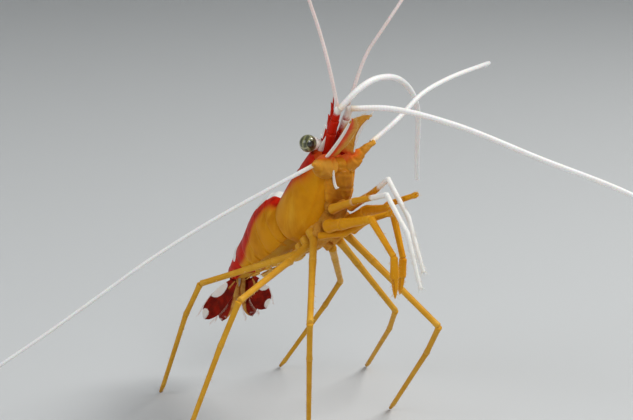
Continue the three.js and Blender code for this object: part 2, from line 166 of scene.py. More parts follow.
# Forms: vertices, faces, and for the finish a place on the surface and a tint (red, white, dark); the dark share is a
# real dark marking in some places and painted shade in others.
class Form:
    def __init__(self):
        self.points, self.faces, self.places, self.tints, self.count = [], [], [], [], 0

    def add(self, points, faces, places, tints):
        self.points.append(points)
        self.places.append(places)
        self.tints.append(tints)
        self.faces.extend((np.asarray(face) + self.count).tolist() for face in faces)
        self.count += len(points)

    def loft(self, rings, places, tints):
        """A closed skin over a row of rings of points, ends filled, facing out."""
        rows, sides = rings.shape[:2]
        every = (np.broadcast_to(np.asarray(values, float), rings.shape) for values in (rings, places, tints))
        points, places, tints = (np.vstack([v.reshape(-1, 3), v[0].mean(0), v[-1].mean(0)]) for v in every)
        j = np.arange(sides)
        k = (j + 1) % sides
        row = sides * np.arange(rows - 1)[:, None]
        quads = np.stack([row + j, row + k, row + sides + k, row + sides + j], -1).reshape(-1, 4)
        end = sides * (rows - 1)
        first = np.stack([k, j, np.full(sides, rows * sides)], -1)
        last = np.stack([end + j, end + k, np.full(sides, rows * sides + 1)], -1)
        a, b, c, d = (points[quads[:, n]] - points.mean(0) for n in range(4))
        if np.einsum("ij,ij->", a, np.cross(b, c) + np.cross(c, d)) < 0:
            quads, first, last = quads[:, ::-1], first[:, ::-1], last[:, ::-1]
        self.add(points, [*quads, *first, *last], places, tints)


def rings_along(path, wide, tall, up, sides):
    """Oval rings square to a path; wide lies across up and tall along it."""
    along = unit(np.gradient(path, axis=0))
    side = unit(np.cross(np.broadcast_to(up, path.shape), along))
    lift = np.cross(along, side)
    wide, tall = (np.broadcast_to(size, len(path))[:, None, None] for size in (wide, tall))
    angle = circle(sides)[:, None]
    return path[:, None] + side[:, None] * wide * np.cos(angle) + lift[:, None] * tall * np.sin(angle)


CAP_RINGS, CAP_DEPTH = 5, 0.45
SHAFT_RINGS = 14


def segment(form, start, end, near, far, up, waist=0.05, knuckle=0.08, flat=1.0, tint=(0, 0, 0), end_tint=None,
            sides=18):
    """One limb segment between two joints: rounded ends, a knuckle at each and a slight waist."""
    start, end = np.asarray(start, float), np.asarray(end, float)
    length = np.linalg.norm(end - start)
    cap = np.linspace(0, math.pi / 2, CAP_RINGS + 1)[:-1]
    near_cap, far_cap = (CAP_DEPTH * size * (1 - np.cos(cap)) for size in (near, far))
    shaft = np.linspace(CAP_DEPTH * near, length - CAP_DEPTH * far, SHAFT_RINGS)
    at = np.concatenate([near_cap, shaft, (length - far_cap)[::-1]])
    share = at / length
    knuckles = hump(at, 0.7 * near, 0.8 * near) + hump(at, length - 0.7 * far, 0.9 * far)
    radius = part_way(near, far, share) * (1 - waist * np.sin(math.pi * share) + knuckle * knuckles)
    rounding = np.maximum(np.sin(cap), 0.02)
    radius[:CAP_RINGS] *= rounding
    radius[-CAP_RINGS:] *= rounding[::-1]
    rings = rings_along(part_way(start, end, share[:, None]), radius, radius * flat, up, sides)
    tint, end_tint = np.asarray(tint, float), np.asarray(tint if end_tint is None else end_tint, float)
    tints = tint + (end_tint - tint) * ease(share, 0.1, 0.9)[:, None, None]
    form.loft(rings, grid(at[:, None], share[:, None], np.cos(circle(sides))), tints)


LEAF_ROWS, LEAF_END_ROWS, LEAF_COLUMNS = 26, 9, 23


def leaf(form, start, end, half, thickness, up, outline, arch, round_end, straight=0, bow=0.0, rib=0.0, rim=0.0,
         to=body, tint=plain):
    """A thin leaf on a line. Returns what gives a place on it from a share of its length and of its half width.

    Its outline is a row of shares of the half width; straight keeps one margin straight, and bow draws the leaf away
    from that side halfway along.
    """
    start, end = np.asarray(start, float), np.asarray(end, float)
    side = unit(np.cross(np.asarray(up, float), end - start))
    lift = unit(np.cross(end - start, side))
    t = np.concatenate([np.linspace(0, 1 - round_end, LEAF_ROWS)[:-1],
                        1 - round_end * np.cos(np.linspace(0, math.pi / 2, LEAF_END_ROWS))])
    nose = np.clip(t - 1 + round_end, 0, None) / round_end
    share = through(outline, t) * np.sqrt(np.clip(1 - nose ** 2, 0.0004, 1))
    across = np.linspace(-1, 1, LEAF_COLUMNS)
    across = np.sign(across) * (1 - (1 - np.abs(across)) ** 1.4)
    x = np.concatenate([across, across[-2:0:-1]])
    thick = 0.5 * thickness * (1 - 0.75 * across ** 4) * (1 - 0.45 * ease(np.abs(across), 0.5, 1))
    thick = thick + rim * ease(across * (straight or 1), 0.42, 0.62) * np.sqrt(np.clip(1.02 - across ** 2, 0, 1))
    spine = rib * hump(across, 0, 0.09)
    taper = (1 - 0.5 * t)[:, None]
    rise = (arch * (1 - across ** 2))[None] * share[:, None]
    top, bottom = rise + (thick + spine)[None] * taper, rise - (thick + 0.5 * spine)[None] * taper
    height = np.concatenate([top, bottom[:, -2:0:-1]], 1)

    def aside(at, wide):
        return straight * (half * (1 - wide) - bow * 4 * at * (1 - at))

    middle = part_way(start, end, t[:, None]) + side * aside(t, share)[:, None]
    rings = middle[:, None] + side * (half * share[:, None] * x)[..., None] + lift * height[..., None]
    form.loft(to(rings), grid(t[:, None], x), tint(t[:, None], x))

    def place(at, edge):
        wide = through(outline, at)
        return to(part_way(start, end, at) + side * aside(at, wide) + side * half * wide * edge)

    return place


# Finishes.
class Nodes:
    """Short names for making the nodes of a tree and joining them."""

    def __init__(self, tree):
        self.tree = tree

    def join(self, source, socket):
        if isinstance(source, bpy.types.NodeSocket):
            self.tree.links.new(source, socket)
        else:
            socket.default_value = (*source, 1) if isinstance(source, tuple) else source

    def node(self, kind, inputs, **settings):
        node = self.tree.nodes.new(kind)
        for key, value in settings.items():
            setattr(node, key, value)
        for key, value in inputs.items():
            self.join(value, node.inputs[key])
        return node

    def do(self, operation, *values):
        return self.node("ShaderNodeMath", dict(enumerate(values)), operation=operation).outputs[0]


class Finish(Nodes):
    """A Principled material and the patterns that feed it; a tuple is a colour."""

    def __init__(self, name, **values):
        self.material = bpy.data.materials.new(name)
        self.material.use_nodes = True
        super().__init__(self.material.node_tree)
        self.shader = self.tree.nodes["Principled BSDF"]
        for key, value in values.items():
            self.shader.inputs[key.replace("_", " ")].default_value = value

    def read(self, name):
        return self.node("ShaderNodeAttribute", {}, attribute_name=name).outputs["Vector"]

    def split(self, vector):
        return self.node("ShaderNodeSeparateXYZ", {0: vector}).outputs

    def place(self):
        return self.node("ShaderNodeTexCoord", {}).outputs["Object"]

    def noise(self, scale, detail=3.0, vector=None, stretch=None):
        vector = self.place() if vector is None else vector
        if stretch is not None:
            vector = self.node("ShaderNodeMapping", {"Vector": vector, "Scale": stretch}).outputs["Vector"]
        return self.node("ShaderNodeTexNoise", {
            "Vector": vector, "Scale": scale, "Detail": detail, "Roughness": 0.55}).outputs["Fac"]

    def cells(self, scale, vector=None):
        vector = self.place() if vector is None else vector
        return self.node("ShaderNodeTexVoronoi", {"Vector": vector, "Scale": scale}).outputs["Distance"]

    def fade(self, value, low, high, out_low=0.0, out_high=1.0):
        return self.node("ShaderNodeMapRange", {
            "Value": value, "From Min": low, "From Max": high, "To Min": out_low, "To Max": out_high,
        }, interpolation_type="SMOOTHSTEP").outputs["Result"]

    def ragged(self, share, grain, amount):
        """A share whose edge is broken up by a grain."""
        return self.do("ADD", share, self.do("MULTIPLY", self.do("SUBTRACT", grain, 0.5), amount))

    def paint(self, colour, *coats):
        """A colour under coats of others, each given with its share of the whole."""
        for coat, share in coats:
            colour = self.node("ShaderNodeMix", {0: share, 6: colour, 7: coat}, data_type="RGBA").outputs[2]
        return colour

    def bump(self, *heights, distance):
        below = {}
        for height, strength in heights:
            node = self.node("ShaderNodeBump", {
                "Height": height, "Strength": strength, "Distance": distance, **below})
            below = {"Normal": node.outputs["Normal"]}
        self.join(below["Normal"], self.shader.inputs["Normal"])

    def done(self, colour, rough=None):
        self.join(colour, self.shader.inputs["Base Color"])
        if rough is not None:
            self.join(rough, self.shader.inputs["Roughness"])
        return self.material


AMBER = (0.70, 0.285, 0.006)
DEEP_AMBER = (0.54, 0.185, 0.003)
PALE_AMBER = (0.74, 0.42, 0.06)
ORANGE = (0.64, 0.15, 0.008)
RED = (0.58, 0.016, 0.003)
DARK_RED = (0.30, 0.006, 0.002)
SCARLET = (0.62, 0.05, 0.010)
WHITE = (0.86, 0.84, 0.80)


STREAK_GOLD = (0.80, 0.42, 0.03)
SHELL_SHADOW, LIMB_SHADOW, LEAF_SHADOW = (0.16, 0.04, 0.004), (0.16, 0.05, 0.008), (0.1, 0.02, 0.005)
DARK_OLIVE, OLIVE, PALE_OLIVE = (0.06, 0.065, 0.018), (0.27, 0.27, 0.10), (0.44, 0.44, 0.24)
EYE_HEART, EYE_COLLAR, FACET_LINE = (0.008, 0.008, 0.004), (0.72, 0.70, 0.62), (0.02, 0.02, 0.01)


def shell_finish(name, base, deep, red, dark_red):
    """Smooth shell: clouded base, orange then red and white where the tint says, a grain of fine pigment dots."""
    f = Finish(name, Roughness=0.36, Coat_Weight=0.05, Coat_Roughness=0.12, Specular_IOR_Level=0.02,
               Subsurface_Weight=0.1, Subsurface_Scale=0.0006, Subsurface_Radius=(1.0, 0.4, 0.1))
    redness, whiteness, darkness = f.split(f.read("tint"))
    streaks, clouds, dots = f.noise(650, 4, stretch=[1, 1, 0.2]), f.noise(240), f.cells(5200)
    edge = f.ragged(redness, streaks, 0.35)
    colour = f.paint(
        base,
        (deep, f.fade(clouds, 0.36, 0.7)),
        (STREAK_GOLD, f.fade(streaks, 0.5, 0.7, 0, 0.5)),
        (deep, f.fade(dots, 0.0, 0.42, 0.22, 0.0)),
        (ORANGE, f.fade(edge, 0.08, 0.55)),
        (f.paint(red, (dark_red, f.fade(f.noise(900, 4), 0.42, 0.75))), f.fade(edge, 0.35, 0.8)),
        (WHITE, f.fade(f.ragged(whiteness, f.noise(2600), 0.4), 0.4, 0.6)),
        (SHELL_SHADOW, f.do("MULTIPLY", darkness, 0.75)),
    )
    f.bump((f.noise(2400), 0.2), (dots, 0.1), (streaks, 0.1), distance=0.00004)
    return f.done(colour, f.fade(clouds, 0.3, 0.7, 0.31, 0.46))


def limb_finish(name, base, deep, tip):
    """Thin cuticle on a limb: cloudy length, darker joints, paler end; tint white and red as on the shell."""
    f = Finish(name, Roughness=0.34, Coat_Weight=0.08, Coat_Roughness=0.12, Specular_IOR_Level=0.04,
               Subsurface_Weight=0.1, Subsurface_Scale=0.0004, Subsurface_Radius=(1.0, 0.6, 0.3))
    redness, whiteness, darkness = f.split(f.read("tint"))
    share = f.split(f.read("place"))[1]
    grain = f.noise(1500, 4)
    colour = f.paint(
        base,
        (deep, f.fade(f.noise(420, 2), 0.35, 0.7, 0, 0.5)),
        (deep, f.fade(grain, 0.4, 0.75, 0, 0.25)),
        (tip, f.fade(share, 0.86, 1.0, 0, 0.25)),
        (deep, f.fade(share, 0.06, 0.0, 0, 0.4)),
        (SCARLET, f.fade(f.ragged(redness, grain, 0.5), 0.3, 0.8)),
        (WHITE, f.fade(f.ragged(whiteness, f.noise(3200), 0.35), 0.35, 0.65)),
        (LIMB_SHADOW, f.do("MULTIPLY", darkness, 0.7)),
    )
    f.bump((grain, 0.2), (f.noise(5200, 2), 0.12), distance=0.00003)
    return f.done(colour, f.fade(grain, 0.3, 0.7, 0.30, 0.46))


def eye_finish():
    """Olive eye with upright bands; a pale collar, a glint and a dark heart come from the tint, over fine facets."""
    f = Finish("eye facets", Roughness=0.3, Coat_Weight=1.0, Coat_Roughness=0.03, Sheen_Weight=0.7,
               Sheen_Roughness=0.3, Sheen_Tint=(0.92, 0.9, 0.6, 1))
    place = f.read("place")
    collar, glint, heart = f.split(f.read("tint"))
    wave = f.do("ADD", f.split(place)[1], f.do("MULTIPLY", f.noise(1.4, vector=place), 0.35))
    facets = f.cells(17.0, vector=place)
    colour = f.paint(
        DARK_OLIVE,
        (OLIVE, f.fade(f.do("SINE", f.do("MULTIPLY", wave, 11.0)), -0.2, 0.8)),
        (PALE_OLIVE, f.fade(glint, 0.2, 0.8)),
        (EYE_HEART, f.fade(f.ragged(heart, f.noise(2.6, vector=place), 0.8), 0.35, 0.6)),
        (EYE_COLLAR, f.fade(collar, 0.2, 0.8)),
        (FACET_LINE, f.fade(facets, 0.25, 0.6, 0.0, 0.25)),
    )
    f.bump((facets, 0.25), distance=0.00002)
    return f.done(colour)


def leaf_finish(name, base, deep, red, dark_red, soft=0.2):
    """Thin leaf: fine ribs run along it, with red and white markings from the tint."""
    f = Finish(name, Roughness=0.3, Coat_Weight=0.06, Coat_Roughness=0.1, Specular_IOR_Level=0.03,
               Subsurface_Weight=0.1, Subsurface_Scale=0.0004)
    redness, whiteness, darkness = f.split(f.read("tint"))
    ribs = f.do("SINE", f.do("MULTIPLY", f.split(f.read("place"))[1], 34.0))
    grain = f.noise(1800, 4)
    colour = f.paint(
        base,
        (deep, f.fade(grain, 0.35, 0.7)),
        (deep, f.fade(ribs, 0.2, 1.0, 0, 0.25)),
        (f.paint(red, (dark_red, f.fade(f.noise(1100, 4), 0.35, 0.65))),
         f.fade(f.ragged(redness, grain, 0.5), 0.5 - soft, 0.5 + soft)),
        (WHITE, f.fade(f.ragged(whiteness, f.noise(2800), 0.5), 0.38, 0.62)),
        (LEAF_SHADOW, f.do("MULTIPLY", darkness, 0.7)),
    )
    f.bump((ribs, 0.2), (grain, 0.2), distance=0.00003)
    return f.done(colour)


def feeler_finish(name, base, shade, root):
    """Ringed feeler: a faint dark line at each ring, tinted at its root."""
    f = Finish(name, Roughness=0.42, Subsurface_Weight=0.15, Subsurface_Scale=0.0004)
    share, ring, _ = f.split(f.read("place"))
    lines = f.do("SINE", ring)
    colour = f.paint(
        base,
        (shade, f.fade(lines, 0.2, -1.0, 0, 0.12)),
        (shade, f.fade(f.noise(700), 0.45, 0.7, 0, 0.15)),
        (root, f.fade(share, 0.025, 0.0)),
    )
    f.bump((lines, 0.1), distance=0.00002)
    return f.done(colour)


def bristle_finish(name, colour, tip):
    f = Finish(name, Roughness=0.45, Subsurface_Weight=0.1, Subsurface_Scale=0.0002)
    return f.done(f.paint(colour, (tip, f.fade(f.noise(1200, 2), 0.35, 0.65))))


SHELL = shell_finish("amber shell", AMBER, DEEP_AMBER, RED, DARK_RED)
MOUTH = shell_finish("mouth amber", PALE_AMBER, AMBER, SCARLET, RED)
TAIL_SHELL = leaf_finish("tail leaf", (0.70, 0.38, 0.09), (0.52, 0.2, 0.03), (0.30, 0.012, 0.003),
                         (0.15, 0.006, 0.002))
SCALE_LEAF = leaf_finish("antennal scale leaf", (0.70, 0.37, 0.06), (0.58, 0.25, 0.03), (0.80, 0.10, 0.03),
                         (0.68, 0.06, 0.015), soft=0.42)
PADDLE = leaf_finish("paddle leaf", PALE_AMBER, AMBER, RED, DARK_RED)
FACE = shell_finish("face amber", (0.72, 0.30, 0.022), (0.56, 0.20, 0.010), (0.70, 0.12, 0.02), RED)
ANTENNA_AMBER = shell_finish("antenna base amber", (0.72, 0.345, 0.05), (0.56, 0.21, 0.014), (0.72, 0.14, 0.03),
                             SCARLET)
LEG = limb_finish("leg amber", (0.68, 0.35, 0.03), (0.54, 0.24, 0.012), (0.76, 0.48, 0.10))
FRONT_LEG = limb_finish("front leg amber", (0.74, 0.325, 0.010), (0.60, 0.22, 0.005), (0.78, 0.44, 0.05))
JAW_LEG = limb_finish("white limb", (0.68, 0.32, 0.02), (0.52, 0.19, 0.01), WHITE)
STEM = limb_finish("red stem", (0.60, 0.016, 0.003), (0.42, 0.010, 0.003), SCARLET)
STALK = limb_finish("white stalk", (0.93, 0.92, 0.90), (0.84, 0.80, 0.77), (0.93, 0.92, 0.90))
EYE_BALL = eye_finish()
WHITE_FEELER = feeler_finish("white feeler", (0.92, 0.915, 0.90), (0.66, 0.63, 0.61), (0.86, 0.74, 0.60))
PINK_FEELER = feeler_finish("pink feeler", (0.82, 0.71, 0.68), (0.66, 0.42, 0.36), (0.80, 0.56, 0.48))
PALE_BRISTLE = bristle_finish("pale bristle", (0.84, 0.82, 0.78), (0.72, 0.68, 0.6))
AMBER_BRISTLE = bristle_finish("amber bristle", (0.66, 0.38, 0.09), (0.74, 0.52, 0.22))
TAIL_BRISTLE = bristle_finish("tail bristle", (0.62, 0.28, 0.20), (0.72, 0.50, 0.40))
RED_BRISTLE = bristle_finish("red bristle", (0.60, 0.10, 0.05), (0.72, 0.35, 0.25))


# Making pieces.
def put(name, data):
    obj = bpy.data.objects.new(name, data)
    bpy.context.scene.collection.objects.link(obj)
    return obj


def new_mesh(name, points, edges=(), faces=()):
    mesh = bpy.data.meshes.new(name)
    mesh.from_pydata((np.asarray(points) * MM).tolist(), edges, faces)
    return mesh


def store(mesh, name, values):
    """Keeps a number or a vector at each point of a mesh."""
    values = np.asarray(values, np.float32)
    kind, field = ("FLOAT", "value") if values.ndim == 1 else ("FLOAT_VECTOR", "vector")
    mesh.attributes.new(name, kind, "POINT").data.foreach_set(field, values.ravel())


def result_of(obj):
    """The mesh that an object's modifiers make; the object itself goes."""
    mesh = bpy.data.meshes.new_from_object(obj.evaluated_get(bpy.context.evaluated_depsgraph_get()))
    bpy.data.objects.remove(obj)
    return mesh


def settle(name, mesh, slot, nodes):
    """Makes a piece of a finished mesh; nodes are the solids that it takes the place of."""
    obj = put(name, mesh)
    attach(obj, "root")
    if nodes:
        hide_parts(*nodes)


def make(name, form, finish, slot, nodes=()):
    mesh = new_mesh(name, np.vstack(form.points), faces=form.faces)
    store(mesh, "place", np.vstack(form.places))
    store(mesh, "tint", np.vstack(form.tints))
    mesh.materials.append(finish)
    mesh.shade_smooth()
    settle(name, mesh, slot, nodes)


def melt(name, form, finish, slot, nodes, tint, grain, rounds, folds=0.05):
    """A piece whose forms run together into one skin with soft folds; each point is tinted for where it then lies."""
    mesh = bpy.data.meshes.new(name)
    mesh.from_pydata(np.vstack(form.points).tolist(), [], form.faces)
    rough = put(name, mesh)
    skin = rough.modifiers.new("skin", "REMESH")
    skin.mode, skin.voxel_size = "VOXEL", grain
    soften = rough.modifiers.new("soften", "SMOOTH")
    soften.factor, soften.iterations = 0.5, rounds
    done = result_of(rough)
    bpy.data.meshes.remove(mesh)
    points, out = np.empty((2, len(done.vertices), 3))
    done.vertices.foreach_get("co", points.ravel())
    done.vertices.foreach_get("normal", out.ravel())
    places = (points - THORAX) @ AXES.T
    x, y, z = places.T
    wave = np.sin(3.7 * x + 1.9 * np.sin(2.3 * y)) * np.sin(4.3 * y + 1.7 * np.sin(3.1 * z))
    wave = wave + 0.6 * np.sin(6.1 * z + 2.2 * np.sin(4.9 * x + y))
    smooth = Form()
    faces = [list(face.vertices) for face in done.polygons]
    smooth.add(points + out * folds * wave[:, None], faces, places, tint(places))
    bpy.data.meshes.remove(done)
    make(name, smooth, finish, slot, nodes)


class Tree(Nodes):
    """A Geometry Nodes tree with named inputs, for what repeats or follows a line."""

    def __init__(self, name, **inputs):
        super().__init__(bpy.data.node_groups.new(name, "GeometryNodeTree"))
        new_socket = self.tree.interface.new_socket
        new_socket("Geometry", in_out="INPUT", socket_type="NodeSocketGeometry")
        for key, value in inputs.items():
            kind = {float: "NodeSocketFloat", int: "NodeSocketInt"}.get(type(value), "NodeSocketMaterial")
            socket = new_socket(key, in_out="INPUT", socket_type=kind)
            if value is not None:
                socket.default_value = value
        new_socket("Geometry", in_out="OUTPUT", socket_type="NodeSocketGeometry")
        self.inlet, self.outlet = (self.tree.nodes.new(kind) for kind in ("NodeGroupInput", "NodeGroupOutput"))

    def given(self, name):
        return self.inlet.outputs[name]

    def attribute(self, name, kind="FLOAT_VECTOR"):
        return self.node("GeometryNodeInputNamedAttribute", {"Name": name}, data_type=kind).outputs["Attribute"]

    def end(self, geometry):
        real = self.node("GeometryNodeRealizeInstances", {"Geometry": geometry})
        painted = self.node("GeometryNodeSetMaterial", {
            "Geometry": real.outputs[0], "Material": self.given("Finish")})
        self.join(painted.outputs[0], self.outlet.inputs[0])

    def grow(self, name, mesh, slot, nodes=(), **values):
        """Runs the tree on a mesh and keeps the result as a plain mesh piece."""
        seed = put(name + "_seed", mesh)
        modifier = seed.modifiers.new("grow", "NODES")
        modifier.node_group = self.tree
        known = {item.name: item.identifier for item in self.tree.interface.items_tree if item.in_out == "INPUT"}
        for key, value in values.items():
            modifier[known[key]] = value
        grown = result_of(seed)
        grown.name = name
        settle(name, grown, slot, nodes)


def bristle_tree():
    """A slim cone on every root point, leaning along its own direction."""
    tree = Tree("bristles", Thickness=0.00004, Sides=4, Spread=0.2, Seed=1, Finish=None)
    cone = tree.node("GeometryNodeMeshCone", {
        "Vertices": tree.given("Sides"), "Radius Top": 0.12, "Radius Bottom": 1.0, "Depth": 1.0})
    lean = tree.attribute("lean")
    length = tree.node("ShaderNodeVectorMath", {0: lean}, operation="LENGTH").outputs["Value"]
    chance = tree.node("FunctionNodeRandomValue", {"Seed": tree.given("Seed")}, data_type="FLOAT").outputs[1]
    swing = tree.do("ADD", tree.do("MULTIPLY", tree.do("SUBTRACT", chance, 0.5), tree.given("Spread")), 1.0)
    size = tree.node("ShaderNodeCombineXYZ", {
        "X": tree.given("Thickness"), "Y": tree.given("Thickness"), "Z": tree.do("MULTIPLY", length, swing)})
    turn = tree.node("FunctionNodeAlignRotationToVector", {"Vector": lean}, axis="Z")
    placed = tree.node("GeometryNodeInstanceOnPoints", {
        "Points": tree.given("Geometry"), "Instance": cone.outputs["Mesh"], "Rotation": turn.outputs[0],
        "Scale": size.outputs[0]})
    tree.end(placed.outputs[0])
    return tree


def feeler_tree():
    """A ringed tube along a line: its girth comes from the line, its rings from their number."""
    tree = Tree("ringed feeler", Rings=80, Steps=6, Sides=12, Ripple=0.006, Finish=None)
    line = tree.node("GeometryNodeMeshToCurve", {"Mesh": tree.given("Geometry")})
    count = tree.do("ADD", tree.do("MULTIPLY", tree.given("Rings"), tree.given("Steps")), 1.0)
    even = tree.node("GeometryNodeResampleCurve", {"Curve": line.outputs[0], "Count": count})
    share = tree.node("GeometryNodeSplineParameter", {}).outputs["Factor"]
    phase = tree.do("MULTIPLY", tree.do("MULTIPLY", share, tree.given("Rings")), 2 * math.pi)
    ripple = tree.do("ADD", tree.do("MULTIPLY", tree.do("SINE", phase), tree.given("Ripple")), 1.0)
    place = tree.node("ShaderNodeCombineXYZ", {"X": share, "Y": phase}).outputs[0]
    stored = tree.node("GeometryNodeStoreNamedAttribute", {
        "Geometry": even.outputs[0], "Name": "place", "Value": place}, data_type="FLOAT_VECTOR", domain="POINT")
    girth = tree.do("MULTIPLY", tree.attribute("girth", "FLOAT"), ripple)
    sized = tree.node("GeometryNodeSetCurveRadius", {"Curve": stored.outputs[0], "Radius": girth})
    ring = tree.node("GeometryNodeCurvePrimitiveCircle", {"Resolution": tree.given("Sides"), "Radius": 1.0})
    tube = tree.node("GeometryNodeCurveToMesh", {
        "Curve": sized.outputs[0], "Profile Curve": ring.outputs["Curve"], "Scale": girth, "Fill Caps": True})
    smooth = tree.node("GeometryNodeSetShadeSmooth", {"Geometry": tube.outputs[0]})
    tree.end(smooth.outputs[0])
    return tree


BRISTLES = bristle_tree()
FEELER = feeler_tree()


class Roots:
    """Root points of bristles, each with a lean whose length is the bristle's."""

    def __init__(self):
        self.points, self.leans = [], []

    def add(self, points, leans):
        self.points.append(np.reshape(points, (-1, 3)))
        self.leans.append(np.reshape(leans, (-1, 3)))

    def on_limb(self, start, end, near, far, up, count, length, sweep=0.6, share=(0.0, 1.0)):
        """Scatters bristles over a limb segment, swept towards its end."""
        along = unit(end - start)
        side = unit(np.cross(up, along))
        lift = np.cross(along, side)
        at = rng.uniform(*share, count)[:, None]
        angle = rng.uniform(0.0, 1.0, count)[:, None] * 2 * math.pi
        out = side * np.cos(angle) + lift * np.sin(angle)
        self.add(part_way(start, end, at) + out * part_way(near, far, at) * 0.9,
                 unit(out + along * sweep) * rng.uniform(0.7, 1.2, (count, 1)) * length)

    def grow(self, name, slot, finish, thickness, sides=4):
        mesh = new_mesh(name + "_roots", np.vstack(self.points))
        store(mesh, "lean", np.vstack(self.leans) * MM)
        BRISTLES.grow(name, mesh, slot, Thickness=thickness * MM, Sides=sides, Finish=finish)


# Shell plates. A row is: top forward, top height, bottom forward, bottom height, half width.
WAIST = 0.45
SHELL_POWERS = (1.1, 0.8)
CARAPACE = [
    (-5.6, 3.1, -5.8, -3.0, 2.9), (-5.0, 3.25, -5.1, -4.0, 3.1), (-3.5, 3.35, -3.6, -4.7, 3.25),
    (-1.5, 3.4, -1.5, -4.9, 3.3), (1.2, 3.35, 1.4, -4.5, 3.1), (3.2, 3.25, 3.7, -3.5, 2.85),
    (4.4, 3.1, 5.4, -2.5, 2.7), (5.0, 2.9, 6.7, -1.6, 2.5),
]
SEAMS = [
    (-5.75, 3.1, -6.1, -2.75, 2.85), (-8.0, 5.1, -7.7, -2.6, 2.9), (-10.5, 5.9, -10.7, -2.0, 2.85),
    (-13.7, 5.7, -13.3, -1.05, 2.65), (-16.2, 5.15, -15.7, 0.1, 2.35), (-18.4, 4.75, -18.0, 1.1, 2.0),
    (-22.3, 4.5, -21.7, 2.1, 1.55),
]


def shell_points(rows, t, around, swell):
    """Points of a shell in the body frame: t runs along the rows, around is degrees from the ridge."""
    row = through(rows, t)
    top, bottom, half = row[..., 0:2], row[..., 2:4], row[..., 4]
    middle = part_way(bottom, top, WAIST)
    rise, across = np.cos(np.radians(around)), np.sin(np.radians(around))
    power = np.where(rise > 0, *SHELL_POWERS)
    rise, across = (np.sign(value) * np.abs(value) ** power for value in (rise, across))
    reach = np.where(rise > 0, 1 - WAIST, WAIST) * np.linalg.norm(top - bottom, axis=-1)
    size = 1 + swell / np.maximum(np.hypot(across * half, rise * reach), 0.5)
    place = middle + unit(top - bottom) * (rise * reach * size)[..., None]
    return np.stack([place[..., 0], across * half * size, place[..., 1]], -1)


def turned_in(ring, share, shift):
    """A rim drawn inwards and pushed along the body, to close a plate behind it."""
    middle = ring.mean(0)
    return part_way(middle, ring, share) + np.array([shift, 0, 0])


def shell_tints(points, side, band, line=13.0, head_red=0.0, spread=0.0):
    """Red to each side of a white line down the back; band and line are how far round, in degrees, each reaches."""
    f, d = points[..., 0], points[..., 2]
    red = ease(side, band + 24 + spread * ease(f, -3.5, 3), band - 16)
    red = np.maximum(red, head_red * ease(f, 1.0, 4.6) * ease(d, -2.0, 1.6))
    return grid(red, ease(side, line + 4, line - 4))


CARAPACE_SIDES, RIM_RINGS, SHIELD_RINGS = 160, 9, 70


def carapace_relief(t, f, side):
    """Grooves and lines pressed into the head shield, its rims, its lower margin and its keel."""
    neck_groove = -0.06 * hump(f, 1.0 + 0.016 * (side - 20), 0.28) * ease(side, 8, 25) * ease(side, 112, 92)
    gill_line = -0.03 * hump(side, 84 - 4 * f, 5) * ease(f, -4.8, -3.6) * ease(f, 1.8, 0.6)
    saddle = -0.05 * hump(f, -1.6 + 0.02 * side, 0.3) * ease(side, 20, 40) * ease(side, 84, 70)
    rear_rim = 0.06 * hump(t, 0.012, 0.010) - 0.03 * hump(t, 0.036, 0.010)
    front_rim = 0.05 * hump(t, 0.993, 0.012) - 0.02 * hump(t, 0.965, 0.014)
    margin = 0.03 * hump(side, 121, 4) - 0.12 * ease(side, 124, 134) * ease(t, 1.0, 0.9)
    keel = 0.20 * ease(side, 9, 0) * ease(f, -1.5, 2.5)
    return neck_groove + gill_line + saddle + rear_rim + front_rim + margin + keel


def build_carapace():
    form = Form()
    t = np.concatenate([np.linspace(0, 0.08, RIM_RINGS)[:-1], np.linspace(0.08, 0.94, SHIELD_RINGS),
                        np.linspace(0.94, 1, RIM_RINGS)[1:]])[:, None]
    around = np.linspace(-180, 180, CARAPACE_SIDES, endpoint=False)[None]
    side = np.abs(around)
    points = shell_points(CARAPACE, t, around, carapace_relief(t, through(CARAPACE, t)[..., 0], side))
    eye_notch = -0.3 * hump(side, 40, 18) * ease(t, 0.88, 1.0)
    cheek_spine = 0.45 * hump(side, 79, 5) * ease(t, 0.93, 1.0)
    corner = -0.25 * hump(side, 112, 14) * ease(t, 0.92, 1.0) - 1.6 * ease(side, 122, 150) * ease(t, 0.86, 1.0)
    points[..., 0] += eye_notch + cheek_spine + corner
    tints = shell_tints(points, side, 42 + 30 * ease(points[..., 0], 0.5, 4.8), head_red=0.95, spread=26)
    tints[..., 2] = 0.3 * ease(t, 0.03, 0.0)
    rear = [turned_in(points[0], share, depth) for share, depth in ((0.95, 0.35), (0.975, 0))]
    front = [turned_in(points[-1], share, -depth) for share, depth in ((0.975, 0), (0.94, 0.45), (0.80, 0.7))]
    rings = np.stack([*rear, *points, *front])
    form.loft(body(rings), rings, np.pad(tints, ((2, 3), (0, 0), (0, 0)), "edge"))
    make("carapace_shield", form, SHELL, "carapace_shell", ["carapace"])


ROSTRUM_ROOT, ROSTRUM_TIP, ROSTRUM_THROAT = 1.4, 11.3, 4.2
TOOTH_PITCH = (ROSTRUM_TIP - ROSTRUM_ROOT - 1.2) / 6
UPPER_TEETH = [ROSTRUM_ROOT + 0.2 + (i + 0.9) * TOOTH_PITCH for i in range(6)]
LOWER_TEETH = [ROSTRUM_TIP - 1.4 - i * 1.2 for i in range(3)]
BLADE_RINGS, BLADE_SIDES = 230, 28
COMB_BRISTLES, COMB_PITCH = 7, 0.09


def rostrum_crest(x):
    return 3.35 + 0.03 * (x - 3.5) + 0.022 * (x - 3.5) ** 2 + 0.05 * np.maximum(x - 8, 0) ** 2


